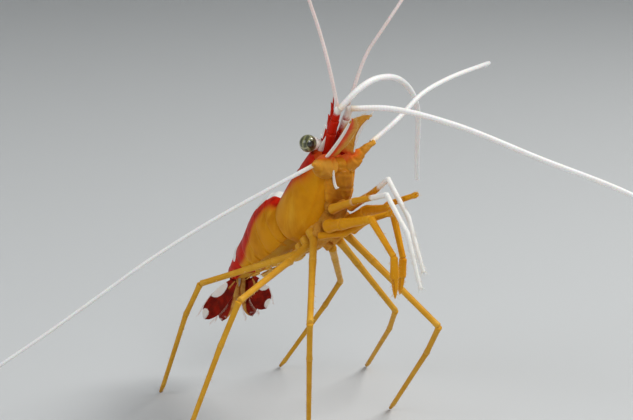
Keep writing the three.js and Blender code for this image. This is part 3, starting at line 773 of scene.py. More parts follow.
def build_rostrum():
    """A thin toothed blade with a rib along each face and a comb of bristles before each upper tooth."""
    form = Form()
    stops = [x + step for x in [*UPPER_TEETH, *LOWER_TEETH] for step in (-0.02, 0.05, 0.1)]
    x = np.unique(np.concatenate([np.linspace(ROSTRUM_ROOT - 0.6, ROSTRUM_TIP, BLADE_RINGS), stops]))
    crest = rostrum_crest(x) - 0.5 * ease(x, ROSTRUM_ROOT + 0.3, ROSTRUM_ROOT - 0.6)
    depth = 1.15 * np.sqrt(np.clip(ROSTRUM_TIP - x, 0, None) / 7)
    top, bottom = crest, crest - np.where(x > ROSTRUM_THROAT, depth, depth[np.searchsorted(x, ROSTRUM_THROAT)])
    for tip in UPPER_TEETH:
        lead = np.clip((x - (tip - 0.85 * TOOTH_PITCH)) / (0.85 * TOOTH_PITCH), 0, 1) ** 1.6
        top = top + 0.42 * lead * ease(x, tip + 0.09, tip)
    for tip in LOWER_TEETH:
        bottom = bottom - 0.25 * np.clip((x - (tip - 0.9)) / 0.9, 0, 1) ** 1.5 * ease(x, tip + 0.09, tip)
    x, middle, reach = x[:, None], ((top + bottom) / 2)[:, None], np.maximum((top - bottom) / 2, 0.03)[:, None]
    rise, across = np.sin(circle(BLADE_SIDES)), np.cos(circle(BLADE_SIDES))
    half = 0.27 * np.clip((ROSTRUM_TIP - x) / 5, 0.12, 1)
    half = half * (np.abs(across) ** 0.9 * (0.45 + 0.55 * hump(rise, -0.15, 0.4)))
    rings = grid(x, np.sign(across) * half, middle + reach * rise)
    white = 0.9 * ease(rise, 0.0, 0.35) * ease(x, 8.3, 7.2) * ease(x, 0.6, 2.2)
    form.loft(body(rings), rings, grid(1, white))
    make("rostrum_blade", form, SHELL, "carapace_shell", ["carapace"])
    comb = Roots()
    for tip in UPPER_TEETH:
        for k in range(COMB_BRISTLES):
            at = tip + 0.12 + COMB_PITCH * k
            if at < ROSTRUM_TIP - 0.3:
                lean = np.array([0.5, 0.06 * (k % 3 - 1), 0.42]) @ AXES
                comb.add(body((at, 0, rostrum_crest(at))), lean * (1 - 0.07 * k))
    comb.grow("rostrum_comb", "carapace_shell", PALE_BRISTLE, thickness=0.022)


# Abdomen: how much shorter each plate is at its lower margin than at its top, and the share of its length that stays
# in place.
PLATE_BULGE = 0.08
PLATE_LOBES = (0.26, -0.18, 0.26, 0.26, 0.26, 0.2)
LOBE_CENTRE = 0.62
PLATE_SIDES, PLATE_RINGS = 144, 30
SPOT_PLACE = -18.9


def plate_rows(i):
    """Rows of one abdomen plate from its front seam to its back seam, bulging between them."""
    front, back = np.array(SEAMS[i:i + 2])
    share = np.linspace(-0.16, 1.0, 9)[:, None]
    bulge = PLATE_BULGE * np.sin(math.pi * np.clip(share, 0, 1))
    return part_way(front, back, share) + bulge * [0, 1, 0, -1, 1]


def plate_relief(i, share, side, along):
    """Relief of one plate: its tucked front, rear rim and lower lobe, then the line of the whole back."""
    broad = i == 1
    swell = -0.26 * ease(share, 0.14, 0.0) + 0.04 * hump(share, 0.97, 0.035) - 0.03 * hump(share, 0.88, 0.03)
    swell = swell + (0.14 if broad else 0.05) * hump(side, 122, 14) - 0.55 * ease(side, 134, 142)
    swell = swell + (0.05 if broad else 0.0) * ease(side, 60, 90)
    if i == 2:
        swell = swell + 0.10 * hump(side, 0, 22) * ease(share, 0.2, 0.7)
    crown = 0.26 * hump(along, -7.9, 2.3) + 0.2 * ease(along, -9.5, -13) * ease(side, 60, 20)
    shoulder = 0.42 * hump(along, -6.5, 0.75) * hump(side, 0, 38) * ease(share, 0.02, 0.16)
    ridge = 0.24 * hump(side, 0, 15) * ease(along, -12.5, -9.5) * ease(share + i, 0.04, 0.2)
    rump = 0.25 * ease(along, -14.5, -18) * hump(side, 0, 60)
    knob = 0.5 * hump(along, SPOT_PLACE, 0.9) * hump(side, 0, 42)
    return swell + crown * hump(side, 0, 45) + shoulder + ridge + rump + knob


def plate_tints(i, points, share, side):
    """Markings of one plate: the back's bands, a white spot over the last two, red all over the last."""
    f = points[..., 0]
    band = 42 + 16 * ease(f, -6.5, -10) + 18 * ease(f, -10, -13.5) + 22 * ease(f, -13, -17) + 18 * ease(f, -18, -20)
    tints = shell_tints(points, side, band, 14 + 22 * hump(f, -9.6, 2.6))
    if i > 3:
        spot = ease(np.hypot((f - SPOT_PLACE) / 0.72, np.maximum(side - 30, 0) / 42), 1.2, 0.8)
        tints[..., 1] = np.maximum(tints[..., 1] * ease(f, -20.2, -19.6), spot)
    if i == 5:
        tints[..., 0] = np.maximum(tints[..., 0], 0.85)
    tints[..., 2] = 0.06 * ease(share, 0.9, 1.0) + 0.12 * ease(share, 0.16, 0.05)
    return tints


def build_abdomen():
    around = np.linspace(-180, 180, PLATE_SIDES, endpoint=False)[None]
    side = np.abs(around)
    share = np.linspace(0, 1, PLATE_RINGS)[:, None]
    for i, lobe in enumerate(PLATE_LOBES):
        squeeze = 1 - lobe * ease(side, 96, 134) ** 1.5
        t = np.clip(part_way(LOBE_CENTRE, share, squeeze), 0, 1)
        rows = plate_rows(i)
        points = shell_points(rows, t, around, plate_relief(i, share, side, through(rows, t)[..., 0]))
        if lobe < 0:
            points[..., 0] -= (share - LOBE_CENTRE) * lobe * 1.7 * ease(side, 96, 134)
        tints = plate_tints(i, points, share, side)
        rings = np.stack([*points, turned_in(points[-1], 0.975, 0), turned_in(points[-1], 0.93, 0.25)])
        form = Form()
        form.loft(body(rings), rings, np.pad(tints, ((0, 2), (0, 0), (0, 0)), "edge"))
        make(f"abdomen_shell_{i + 1}", form, SHELL, "abdomen_shell", [f"abdomen_plate_{i + 1}"])
    flesh = Form()
    t = np.linspace(0, 1, 60)[:, None]
    points = shell_points([CARAPACE[2], CARAPACE[1], *SEAMS], t, around, -0.42 + 0.05 * np.sin(t * 60))
    flesh.loft(body(points), points, (0, 0, 0.3))
    make("belly", flesh, MOUTH, "abdomen_shell")


TELSON = ((0, 0, 0.5), (-5.4, 0, 0.4))
INNER_BLADE = ((-0.15, 0.7, -0.3), (-5.8, 2.2, -0.3))
OUTER_BLADES = {"right": ((-0.25, 1.25, -1.0), (-4.9, 5.1, -0.8)), "left": ((-0.25, 1.25, -1.0), (-4.7, 3.7, -1.0))}


def fringe(roots, place, start, stop, sides, end_direction, count, length, spread):
    """Bristles in a row along the margins of a leaf; place gives where a margin is."""
    for side in sides:
        for at in np.linspace(start, stop, count):
            here, ahead, inner = place(at, side), place(min(at + 0.02, 1), side), place(at, side * 0.8)
            lean = unit(unit(here - inner) * spread + unit(ahead - here) * 0.55 + end_direction * 0.4)
            roots.add(part_way(inner, here, 0.85), lean * length * rng.uniform(0.8, 1.1))


def telson_tint(t, x):
    red = np.maximum(ease(np.abs(x), 0.45, 0.8), ease(t, 0.55, 0.8))
    return grid(red, 0.9 * ease(np.hypot((t - 0.2) / 0.16, x / 0.5), 1.2, 0.7))


def blade_tint(kind, sign):
    """Markings of a tail blade: two white patches on an outer one, a pale end on an inner one."""
    def tint(t, x):
        outer = x * -sign
        if kind == "inner":
            red, white = ease(outer + 0.6 * t, -0.6, 0.2), 0.42 * ease(t, 0.6, 0.95)
        else:
            red = np.maximum(ease(np.abs(x), 0.0, 0.25), ease(t, 0.1, 0.3))
            white = ease(np.hypot((t - 0.33) / 0.21, (outer - 0.85) / 0.75), 1.15, 0.75)
            white = np.maximum(white, ease(np.hypot((t - 0.98) / 0.20, (outer - 0.5) / 0.7), 1.15, 0.75))
        return grid(red, white, 0.35 * hump(x, 0, 0.12))
    return tint


def build_tail_fan():
    form, hairs, spines = Form(), Roots(), Roots()
    edge = leaf(form, *TELSON, 1.1, 0.55, Z_AXIS, [1, 0.85, 0.7, 0.5, 0.3], arch=0.12, round_end=0.08, rib=0.04,
                to=tail, tint=telson_tint)
    make("telson_plate", form, TAIL_SHELL, "tail_fan", ["telson"])
    down = unit(tail((-1, 0, 0)) - tail((0, 0, 0)))
    for at in np.linspace(-0.8, 0.8, 13):
        hairs.add(edge(0.97, at), (down + 0.2 * at * Y_AXIS) * 0.9)
    for at in (0.35, 0.62):
        for side in (-0.9, 0.9):
            spines.add(edge(at, side), down * 0.5)
    for name, sign in SIDES:
        for kind, (start, end), half in (("inner", INNER_BLADE, 1.15), ("outer", OUTER_BLADES[name], 1.45)):
            form = Form()
            edge = leaf(form, mirrored(start, sign), mirrored(end, sign), half, 0.32, Z_AXIS,
                        [0.4, 0.85, 1, 0.95, 0.75], arch=0.10, round_end=0.3, rib=0.06, to=tail,
                        tint=blade_tint(kind, sign))
            make(f"tail_{kind}_leaf_{name}", form, TAIL_SHELL, "tail_fan", [f"tail_{kind}_blade_{name}"])
            fringe(hairs, edge, 0.45, 0.99, (1, -1), down, count=44, length=0.5, spread=0.6)
    hairs.grow("tail_fringe", "tail_fan", TAIL_BRISTLE, thickness=0.013, sides=3)
    spines.grow("telson_spines", "tail_fan", AMBER_BRISTLE, thickness=0.06, sides=8)


def build_swimmerets():
    for i in range(5):
        front, back, after = np.array(SEAMS[i:i + 3])
        slope = (after[3] - front[3]) / (front[2] - after[2])
        length = 0.86 * (front[2] - after[2]) / 2
        root = (front + back)[2:4] / 2
        form, hairs = Form(), Roots()
        for _, sign in SIDES:
            hip = np.array([root[0] + 0.1, 0.75 * sign, root[1] - 0.12])
            knee = hip + [0.05, 0.15 * sign, -0.42]
            segment(form, body(hip), body(knee), 0.32, 0.26, Y_AXIS, sides=12)
            for reach, out, drop in ((1.0, 0.25, 0.22), (0.8, -0.3, 0.05)):
                end = knee + [-length * reach, out * sign, slope * length * reach + 0.12 - drop]
                tilt = (slope, 0.3 * sign * np.sign(out), 1)
                edge = leaf(form, knee, end, 0.5, 0.14, tilt, [0.45, 0.9, 1, 0.85, 0.4], arch=0.08, round_end=0.25,
                            rib=0.03)
                rearward = unit(edge(1.0, 0) - edge(0.5, 0))
                fringe(hairs, edge, 0.3, 0.98, (1, -1), rearward, count=12, length=0.34, spread=0.7)
        make(f"swimmeret_pair_{i + 1}", form, PADDLE, "swimmeret", [f"swimmerets_{i + 1}"])
        hairs.grow(f"swimmeret_fringe_{i + 1}", "swimmeret", AMBER_BRISTLE, thickness=0.012, sides=3)


# Head.
EYESTALK = [
    (5.0, 0.3, 2.4), (5.5, 0.75, 2.6), (5.8, 1.25, 2.6), (6.05, 1.7, 2.52), (6.22, 2.1, 2.43), (6.35, 2.4, 2.37),
]
EYESTALK_WIDTHS = [0.5, 0.56, 0.6, 0.68, 0.82, 0.74]
PEDUNCLE = [
    ((5.4, 0.5, 0.95), (8.75, 0.72, 1.96), 0.5, 0.6, {"right": (0, 0), "left": (0, 0.3)}),
    ((8.6, 0.72, 1.9), (10.35, 0.75, 2.48), 0.53, 0.54, {"right": (0, 0.1), "left": (0.35, 0.6)}),
    ((10.2, 0.75, 2.45), (12.0, 0.75, 2.95), 0.47, 0.44, {"right": (0.1, 0.7), "left": (0.5, 0.85)}),
]
ANTENNA_BASE = {
    "right": [(5.0, -1.0, -0.5), (6.5, -1.9, -1.05), (6.75, -3.05, -1.35), (7.45, -3.85, -1.6), (8.25, -4.6, -1.78)],
    "left": [(5.0, 1.0, -0.6), (6.6, 2.05, -0.55), (7.3, 2.8, -0.3), (7.95, 3.45, -0.05), (8.6, 4.2, 0.12)],
}
ANTENNA_BASE_WIDTHS = {"right": (1.25, 1.4, 0.85, 0.42, 0.2), "left": (1.2, 1.0, 0.56, 0.42, 0.28)}
RED_TOP = {"right": 0.78, "left": 0.62}
RED_REACH = {"right": (3.9, 2.5), "left": (3.0, 1.8)}
ANTENNAL_SCALE = {
    "right": ((6.9, -1.42, -0.5), (14.3, -0.82, -0.3), (0, -0.1, 1)),
    "left": ((6.95, 1.21, 0.05), (13.55, 0.88, 0.75), (0, 0.6, 0.8)),
}
SCALE_HALF_WIDTH = {"right": 1.02, "left": 0.95}
SCALE_BOW = {"right": 0.3, "left": 0.42}
TOOTH_LENGTH = {"right": 0.9, "left": 1.35}
STEM_SPINE = ((5.9, 1.1, 1.5), (8.45, 1.15, 1.98))


def ball(form, centre, axis, up, radii, rows, sides, tint=plain, to=body):
    """A rounded form whose place on the surface is its own unit coordinates, the first along its axis."""
    x = unit(axis)
    z = unit(np.asarray(up, float) - x * np.dot(up, x))
    frame_axes = np.stack([x, np.cross(z, x), z])
    lat, lon = np.linspace(0.03, math.pi - 0.03, rows)[:, None], circle(sides)
    places = grid(np.cos(lat), np.sin(lat) * np.cos(lon), np.sin(lat) * np.sin(lon))
    rings = np.asarray(centre, float) + (places * radii) @ frame_axes
    form.loft(to(rings), places, tint(places @ frame_axes, places))


@on_both_sides
def build_eyes(name, sign):
    heart, glint = unit(mirrored((0.72, 0.20, -0.66), sign)), unit(mirrored((0.6, 0.78, 0.1), sign))

    def eye_tint(directions, places):
        dark = ease(np.arccos(np.clip(directions @ heart, -1, 1)), 0.62, 0.30)
        return grid(ease(places[..., 0], -0.45, -0.62), hump(directions @ glint, 0.55, 0.10) * 0.8, dark)

    centre = mirrored(EYE, sign)
    path = route(mirrored(EYESTALK, sign), 30)
    share = np.linspace(0, 1, 30)
    widths = through(EYESTALK_WIDTHS, share) * (1 - 0.10 * hump(share, 0.5, 0.05))
    red = np.concatenate([np.linspace(0.5, 0, 4), np.zeros(26)])
    stalk, globe = Form(), Form()
    stalk.loft(body(rings_along(path, widths, widths, Z_AXIS, 36)), (0, 0.5, 0), grid(red, 0.8)[:, None])
    make(f"stalk_{name}", stalk, STALK, "eyestalk", [f"eyestalk_{name}"])
    ball(globe, centre, centre - path[-1], AXES @ Z_AXIS, (0.97, 1.0, 1.0), rows=60, sides=90, tint=eye_tint)
    make(f"eye_globe_{name}", globe, EYE_BALL, "eye", [f"eye_{name}"])


def build_antennule_stem(name, sign, hairs):
    """Three stout segments, each ringed with short hairs at its end, and a spine beside them."""
    stem = Form()
    for start, end, near, far, whites in PEDUNCLE:
        start, end = mirrored(start, sign), mirrored(end, sign)
        near_tint, far_tint = ((0, white, 0) for white in whites[name])
        segment(stem, body(start), body(end), near, far, Z_AXIS, waist=0.06, knuckle=0.04, flat=0.92,
                tint=near_tint, end_tint=far_tint, sides=30)
        along = unit(end - start)
        for angle in circle(11):
            out = np.array([0, math.cos(angle), math.sin(angle)])
            hairs.add(body(end + out * far * 0.9 - along * 0.22), (along * 0.9 + out * 0.35) @ AXES * 0.3)
    root, tip = body(mirrored(STEM_SPINE, sign))
    segment(stem, root, tip, 0.5, 0.04, Z_AXIS, waist=-0.1, knuckle=0, flat=0.6, tint=(0, 0.85, 0), sides=20)
    make(f"antennule_stem_{name}", stem, STEM, "antennule_base", [f"antennule_base_{name}"])


def build_antenna_stem(name, sign):
    """Stout joints that narrow to the long feeler, with three scales round the first."""
    places, widths = np.array(ANTENNA_BASE[name]), ANTENNA_BASE_WIDTHS[name]
    base = Form()
    for here, ahead, near, far in zip(places, places[1:], widths, widths[1:]):
        along = unit(ahead - here)
        segment(base, here - along * 0.2 * near, ahead + along * 0.5 * far, near, far * 1.05, Z_AXIS, waist=0,
                knuckle=0, sides=32)
    rim, across = unit(places[1] - places[0]), unit((0, 0.35 * sign, -1))
    for turn, reach in ((-0.9, 0.6), (-0.1, 0.85), (0.75, 0.75)):
        out = across * math.cos(turn) + np.cross(rim, across) * math.sin(turn) * sign
        foot = places[1] + rim * (reach - 1.0) + out * widths[1] * 0.86
        segment(base, foot, foot + rim * reach - out * 0.1, 0.5, 0.16, out, knuckle=0, flat=0.45, sides=24)
    base.points = [body(points) for points in base.points]

    # Red over the top and paler towards the feeler; the pale patch low down at mid reach is a painted highlight, and
    # the darkening at the very bottom is painted shade.
    def base_tint(at):
        reach, height = at[:, 1] * sign, at[:, 2]
        red = RED_TOP[name] * ease(height, -1.6, -0.3) * ease(reach, *RED_REACH[name]) + 0.1 * ease(reach, 3.4, 2.2)
        pale = 0.34 * ease(reach, 2.9, 3.6) + 0.2 * hump(reach, 2.4, 0.5) * ease(height, -1.2, -1.7)
        return grid(red, pale, 0.2 * ease(height, -1.7, -2.6))

    melt(f"antenna_stem_{name}", base, ANTENNA_AMBER, "antenna_base", [f"antenna_base_{name}"], base_tint,
         grain=0.05, rounds=20, folds=0.03)


def build_feeler_bases():
    hairs = Roots()
    for name, sign in SIDES:
        build_antennule_stem(name, sign, hairs)
        build_antenna_stem(name, sign)
    hairs.grow("stem_hairs", "antennule_base", RED_BRISTLE, thickness=0.012)


@on_both_sides
def build_antennal_scales(name, sign):
    def tint(t, x):
        outer = x * sign
        line = 0.45 if name == "right" else 0.6 + 0.16 * ease(t, 0.5, 0.2)
        white = ease(outer, line, line + 0.08) * ease(t, 0.08, 0.13)
        if name == "right":
            red = ease(outer, -1.0, 0.35)
        else:
            white = np.maximum(white, 0.46 * hump(outer, 0.15, 0.28) * hump(t, 0.42, 0.3))
            red = 0.45 * ease(outer, 0.3, -0.7) * ease(t, 0.9, 0.3)
        return grid(np.maximum(red, 0.7 * ease(t, 0.2, 0.0)), white, 0.5 * hump(outer, line - 0.02, 0.05))

    start, end, tilt = np.array(ANTENNAL_SCALE[name], float)
    half, bow = SCALE_HALF_WIDTH[name], SCALE_BOW[name]
    form, hairs = Form(), Roots()
    edge = leaf(form, start, end, half, 0.16, tilt, [0.85, 1, 1, 0.9, 0.35], arch=0.08, round_end=0.06,
                straight=sign, bow=bow, rib=0.04, rim=0.2, tint=tint)
    along = unit(end - start)
    out = unit(np.cross(tilt, end - start)) * sign
    tooth = part_way(start, end, 0.9) + out * (half - 0.2 - bow * 0.36)
    segment(form, body(tooth), body(tooth + along * TOOTH_LENGTH[name] + out * 0.3), 0.19, 0.02, Z_AXIS, knuckle=0,
            tint=(0, 0.3, 0), end_tint=(0, 0.6, 0), sides=12)
    make(f"scale_leaf_{name}", form, SCALE_LEAF, "antennal_scale", [f"antennal_scale_{name}"])
    ahead = along @ AXES
    fringe(hairs, edge, 0.25, 0.92, (-sign,), ahead, count=64, length=0.36, spread=0.8)
    for at in np.linspace(0.9, 0.99, 18):
        hairs.add(edge(at, -sign), (ahead + 0.12 * rng.normal(size=3)) * 0.4)
    hairs.grow(f"scale_fringe_{name}", "antennal_scale", AMBER_BRISTLE, thickness=0.012, sides=3)


HOOK = [(6.95, -1.53, -1.99), (6.30, -1.41, -2.51), (5.72, -1.23, -2.96), (5.35, -0.98, -3.37), (5.42, -0.70, -3.36)]


# Rounded masses of the face (centre, axis, radii), and the leaves of the jaws (start, end, half width).
FACE_MASSES = [
    ((4.5, 0, 0.5), (1, 0, 0.1), (1.35, 2.2, 2.4)), ((5.5, 0, -0.7), (1, 0, -0.1), (1.3, 1.9, 1.2)),
    ((4.9, 0, -2.0), (1, 0, -0.4), (1.5, 1.95, 1.6)), ((4.3, 0, -2.95), (0.877, 0, 0.48), (2.5, 1.85, 1.0)),
]
JAW_LEAVES = [
    ((2.6, 1.1, -4.45), (5.9, 0.75, -2.65), 0.45), ((3.2, 0.5, -4.4), (6.2, 0.3, -2.5), 0.4),
    ((3.6, 1.5, -3.7), (6.5, 1.1, -1.9), 0.4),
]


def blunt_girths(start, end, bluntness, count):
    """Girths that run evenly from one to another and round off at the end."""
    return np.linspace(start, end, count) * np.sqrt(np.clip(np.linspace(1, 0, count) * bluntness, 0.02, 1))


# Red over the upper face; the dark share is painted shade, deepest low down in the middle between the mouthparts.
def face_tint(at):
    y, d = at.T[1:]
    return grid(0.9 * ease(d, -0.9, 0.3), 0, 0.75 * ease(np.abs(y), 2.0, 0.7) * ease(d, -0.6, -1.9))


def build_mouth():
    face, hairs = Form(), Roots()
    for centre, axis, radii in FACE_MASSES:
        ball(face, centre, axis, Z_AXIS, radii, rows=30, sides=48, to=unmoved)
    for sign in (-1, 1):
        for start, end, half in JAW_LEAVES:
            start, end = mirrored(start, sign), mirrored(end, sign)
            edge = leaf(face, start, end, half, 0.3, (0.48, 0.35 * sign, -0.877), [0.7, 0.95, 1, 0.85, 0.5],
                        arch=0.1, round_end=0.3, to=unmoved)
            ahead = unit(end - start) @ AXES
            for across in np.linspace(-0.8, 0.8, 5):
                hairs.add(body(edge(0.96, across)), (ahead + 0.2 * rng.normal(size=3)) * 0.3)
    face.points = [body(points) for points in face.points]
    melt("face", face, FACE, "mouthparts", ["mouthparts"], face_tint, grain=0.06, rounds=40)
    hook = Form()
    girth = blunt_girths(0.13, 0.18, 8, 30)
    hook.loft(body(rings_along(route(HOOK, 30), girth, girth, Y_AXIS, 16)), (0, 0.9, 0), (0, 1, 0))
    make("palp", hook, JAW_LEG, "mouthparts")
    hairs.grow("mouth_hairs", "mouthparts", AMBER_BRISTLE, thickness=0.016)


# Front limbs.
MAXILLIPEDS = {
    "right": [(2.9, -1.2, -4.6), (6.9, -0.7, -6.4), (11.5, 0.2, -9.0), (11.75, 0.2, -14.35), (9.55, 0.2, -20.15)],
    "left": [(2.9, 1.2, -4.6), (6.4, 1.9, -5.6), (10.8, 1.9, -6.55), (11.0, 1.9, -11.95), (9.35, 1.7, -18.15)],
}
MAXILLIPED_WIDTHS = [0.58, 0.4, 0.29, 0.28, 0.19]
MAXILLIPED_WHITE = [(0, 0), (-0.3, 1.05), (0.95, 1), (1, 1)]
FIRST_LEGS = {
    "right": [(1.7, -1.8, -6.0), (4.7, -1.8, -7.8), (9.0, -1.3, -10.3), (9.45, -1.1, -15.75), (6.05, -0.9, -19.0)],
    "left": [(1.3, 1.6, -5.6), (5.3, 1.5, -6.85), (9.9, 1.3, -9.75), (7.65, 1.3, -15.05), (4.45, 1.1, -17.7)],
}
FIRST_LEG_WIDTHS = [0.8, 0.64, 0.44, 0.34]
SECOND_LEGS = {
    "right": [(-0.1, -2.1, -6.0), (2.8, -0.9, -7.9), (7.4, 0.0, -9.3), (10.9, 0.2, -11.0)],
    "left": [(-0.2, 2.4, -6.0), (3.2, 3.2, -6.5), (7.2, 3.3, -7.5), (13.1, 3.0, -10.4)],
}
SECOND_LEG_WIDTHS = [0.42, 0.4, 0.36, 0.25]


def chain(form, path, widths, tints, up):
    """Limb segments joint to joint; each laps a little over the one before."""
    for i, (start, end) in enumerate(zip(path, path[1:])):
        lap = unit(end - start) * (0.25 if i else 0)
        segment(form, start - lap, end, widths[i], widths[i + 1], up, tint=tints[i], end_tint=tints[i + 1])


def claw(form, start, end, width, open_width, tint):
    """A palm and two fingers that close on each other."""
    palm = part_way(start, end, 0.55)
    along = unit(end - start)
    spread = unit(np.cross(Y_AXIS, along))
    segment(form, start, palm, width * 0.8, width, Y_AXIS, waist=-0.08, flat=0.8, tint=tint)
    girth = blunt_girths(width * 0.52, width * 0.14, 6, 14)
    for side in (-1, 1):
        foot = palm + spread * side * width * 0.45 - along * width * 0.5
        bend = part_way(foot, end, 0.55) + spread * side * open_width
        path = route([foot, bend, end + spread * side * open_width * 0.15], 14)
        form.loft(rings_along(path, girth, girth * 0.9, Y_AXIS, 14), (0, 0.8, 0), tint)


@on_both_sides
def build_maxillipeds(name, _):
    path = body(MAXILLIPEDS[name])
    form, hairs = Form(), Roots()
    for i, (near_white, far_white) in enumerate(MAXILLIPED_WHITE):
        start = path[i] - unit(path[i + 1] - path[i]) * (0.2 if i else 0)
        segment(form, start, path[i + 1], *MAXILLIPED_WIDTHS[i:i + 2], Y_AXIS, tint=(0, near_white, 0),
                end_tint=(0, far_white, 0))
    make(f"maxilliped_{name}", form, JAW_LEG, "white_limb", [f"third_maxilliped_{name}"])
    hairs.on_limb(path[1], path[2], 0.38, 0.29, Y_AXIS, count=24, length=0.3)
    hairs.on_limb(path[2], path[3], 0.28, 0.27, Y_AXIS, count=70, length=0.26, sweep=0.9)
    hairs.on_limb(path[3], path[4], 0.27, 0.15, Y_AXIS, count=200, length=0.42, sweep=0.8, share=(0.1, 1.0))
    hairs.on_limb(path[3], path[4], 0.2, 0.12, Y_AXIS, count=26, length=0.75, sweep=1.5, share=(0.95, 0.99))
    hairs.grow(f"maxilliped_hairs_{name}", "white_limb", PALE_BRISTLE, thickness=0.017)


@on_both_sides
def build_first_legs(name, _):
    hip, thigh, elbow, wrist, tip = body(FIRST_LEGS[name])
    arm, pincers, hairs = Form(), Form(), Roots()
    chain(arm, [hip, thigh, elbow, wrist], FIRST_LEG_WIDTHS, [(0, 0, 0)] * 3 + [(0, 0.15, 0)], Y_AXIS)
    make(f"first_leg_arm_{name}", arm, FRONT_LEG, "front_leg", [f"first_leg_{name}"])
    claw(pincers, wrist - unit(tip - wrist) * 0.15, tip, 0.54, 0.14, (0.25, 0, 0))
    make(f"first_leg_pincers_{name}", pincers, FRONT_LEG, "front_leg", [f"first_leg_claw_{name}"])
    hairs.on_limb(wrist, tip, 0.45, 0.25, Y_AXIS, count=70, length=0.42, share=(0.1, 0.98))
    hairs.on_limb(elbow, wrist, 0.44, 0.34, Y_AXIS, count=40, length=0.34)
    hairs.on_limb(thigh, elbow, 0.6, 0.44, Y_AXIS, count=20, length=0.3)
    hairs.grow(f"first_leg_hairs_{name}", "front_leg", AMBER_BRISTLE, thickness=0.018)


@on_both_sides
def build_second_legs(name, _):
    """A slender leg whose forearm is a row of short segments."""
    hip, knee, elbow, tip = body(SECOND_LEGS[name])
    wrist = part_way(elbow, tip, 0.78)
    form, hairs = Form(), Roots()
    chain(form, [hip, knee, elbow], SECOND_LEG_WIDTHS, [(0, 0, 0)] * 3, Y_AXIS)
    joints = np.linspace(0, 1, 18)
    for start, end in zip(joints, joints[1:]):
        near, far = (part_way(elbow, wrist, share) for share in (start - 0.012, end + 0.012))
        width = 0.34 - 0.06 * start
        segment(form, near, far, width, width * 0.96, Y_AXIS, waist=-0.1, knuckle=0, tint=(0, 0.1, 0), sides=14)
    claw(form, wrist, tip, 0.33, 0.1, (0.1, 0.1, 0))
    make(f"second_leg_{name}_segments", form, FRONT_LEG, "front_leg", [f"second_leg_{name}"])
    hairs.on_limb(wrist, tip, 0.26, 0.18, Y_AXIS, count=30, length=0.35, share=(0.3, 1.0))
    hairs.on_limb(hip, knee, 0.42, 0.4, Y_AXIS, count=14, length=0.25)
    hairs.grow(f"second_leg_hairs_{name}", "front_leg", AMBER_BRISTLE, thickness=0.016)


# Walking legs by number: hip, upper length and lower length, then where each foot stands and how its knee swings.
WALKING_LEGS = {3: ((-1.2, 2.2, -5.6), 15.5, 20), 4: ((-2.9, 2.2, -5.5), 14.5, 20), 5: ((-4.6, 2.0, -5.2), 14, 19)}
STANCE = {
    "right": {3: ((6.2, -4.8), 352), 4: ((3.9, -20.6), 329), 5: ((-20, -10.2), 327)},
    "left": {3: ((0.6, 10.3), 98), 4: ((-16, 17.8), 107), 5: ((-21.8, 8.2), 62)},
}
LOWER_BOW, CLAW_HEIGHT = 0.5, 0.19
BREAST_WIDTHS = (0.85, 0.66)


def build_breast():
    """The underside of the thorax and the first joint of every limb, run together."""
    breast = Form()
    ball(breast, (-0.8, 0, -4.35), (1, 0, 0.02), Z_AXIS, (4.9, 1.7, 1.05), rows=28, sides=40)
    inner = [(limbs[name][0], (1, 0.5, 1), (-0.2, 0, 1.7)) for limbs in (MAXILLIPEDS, FIRST_LEGS, SECOND_LEGS)
             for name, _ in SIDES]
    outer = [(mirrored(leg[0], sign), (1, 0.6, 1), (0, 0, 1.6)) for leg in WALKING_LEGS.values() for _, sign in SIDES]
    for hip, narrowing, rise in inner + outer:
        hip = np.array(hip)
        segment(breast, body(hip * narrowing + rise), body(hip), *BREAST_WIDTHS, X_AXIS, knuckle=0, sides=24)
    # The breast is darkened as painted shade, more towards the front beneath the mouth.
    melt("breast", breast, ANTENNA_AMBER, "mouthparts", [], lambda at: grid(0, 0, 0.2 + 0.3 * ease(at[:, 0], -1, 2)),
         grain=0.08, rounds=8)


def knee_of(hip, foot, upper, lower, swing):
    """The knee between a hip and a foot; swing turns it about the line between them, from straight up."""
    distance = np.linalg.norm(foot - hip)
    along = (foot - hip) / distance
    shadow = (upper ** 2 - lower ** 2 + distance ** 2) / (2 * distance)
    rise = math.sqrt(upper ** 2 - shadow ** 2)
    high = unit(Z_AXIS - along * along[2])
    angle = math.radians(swing)
    return hip + along * shadow + high * rise * math.cos(angle) + np.cross(along, high) * rise * math.sin(angle)


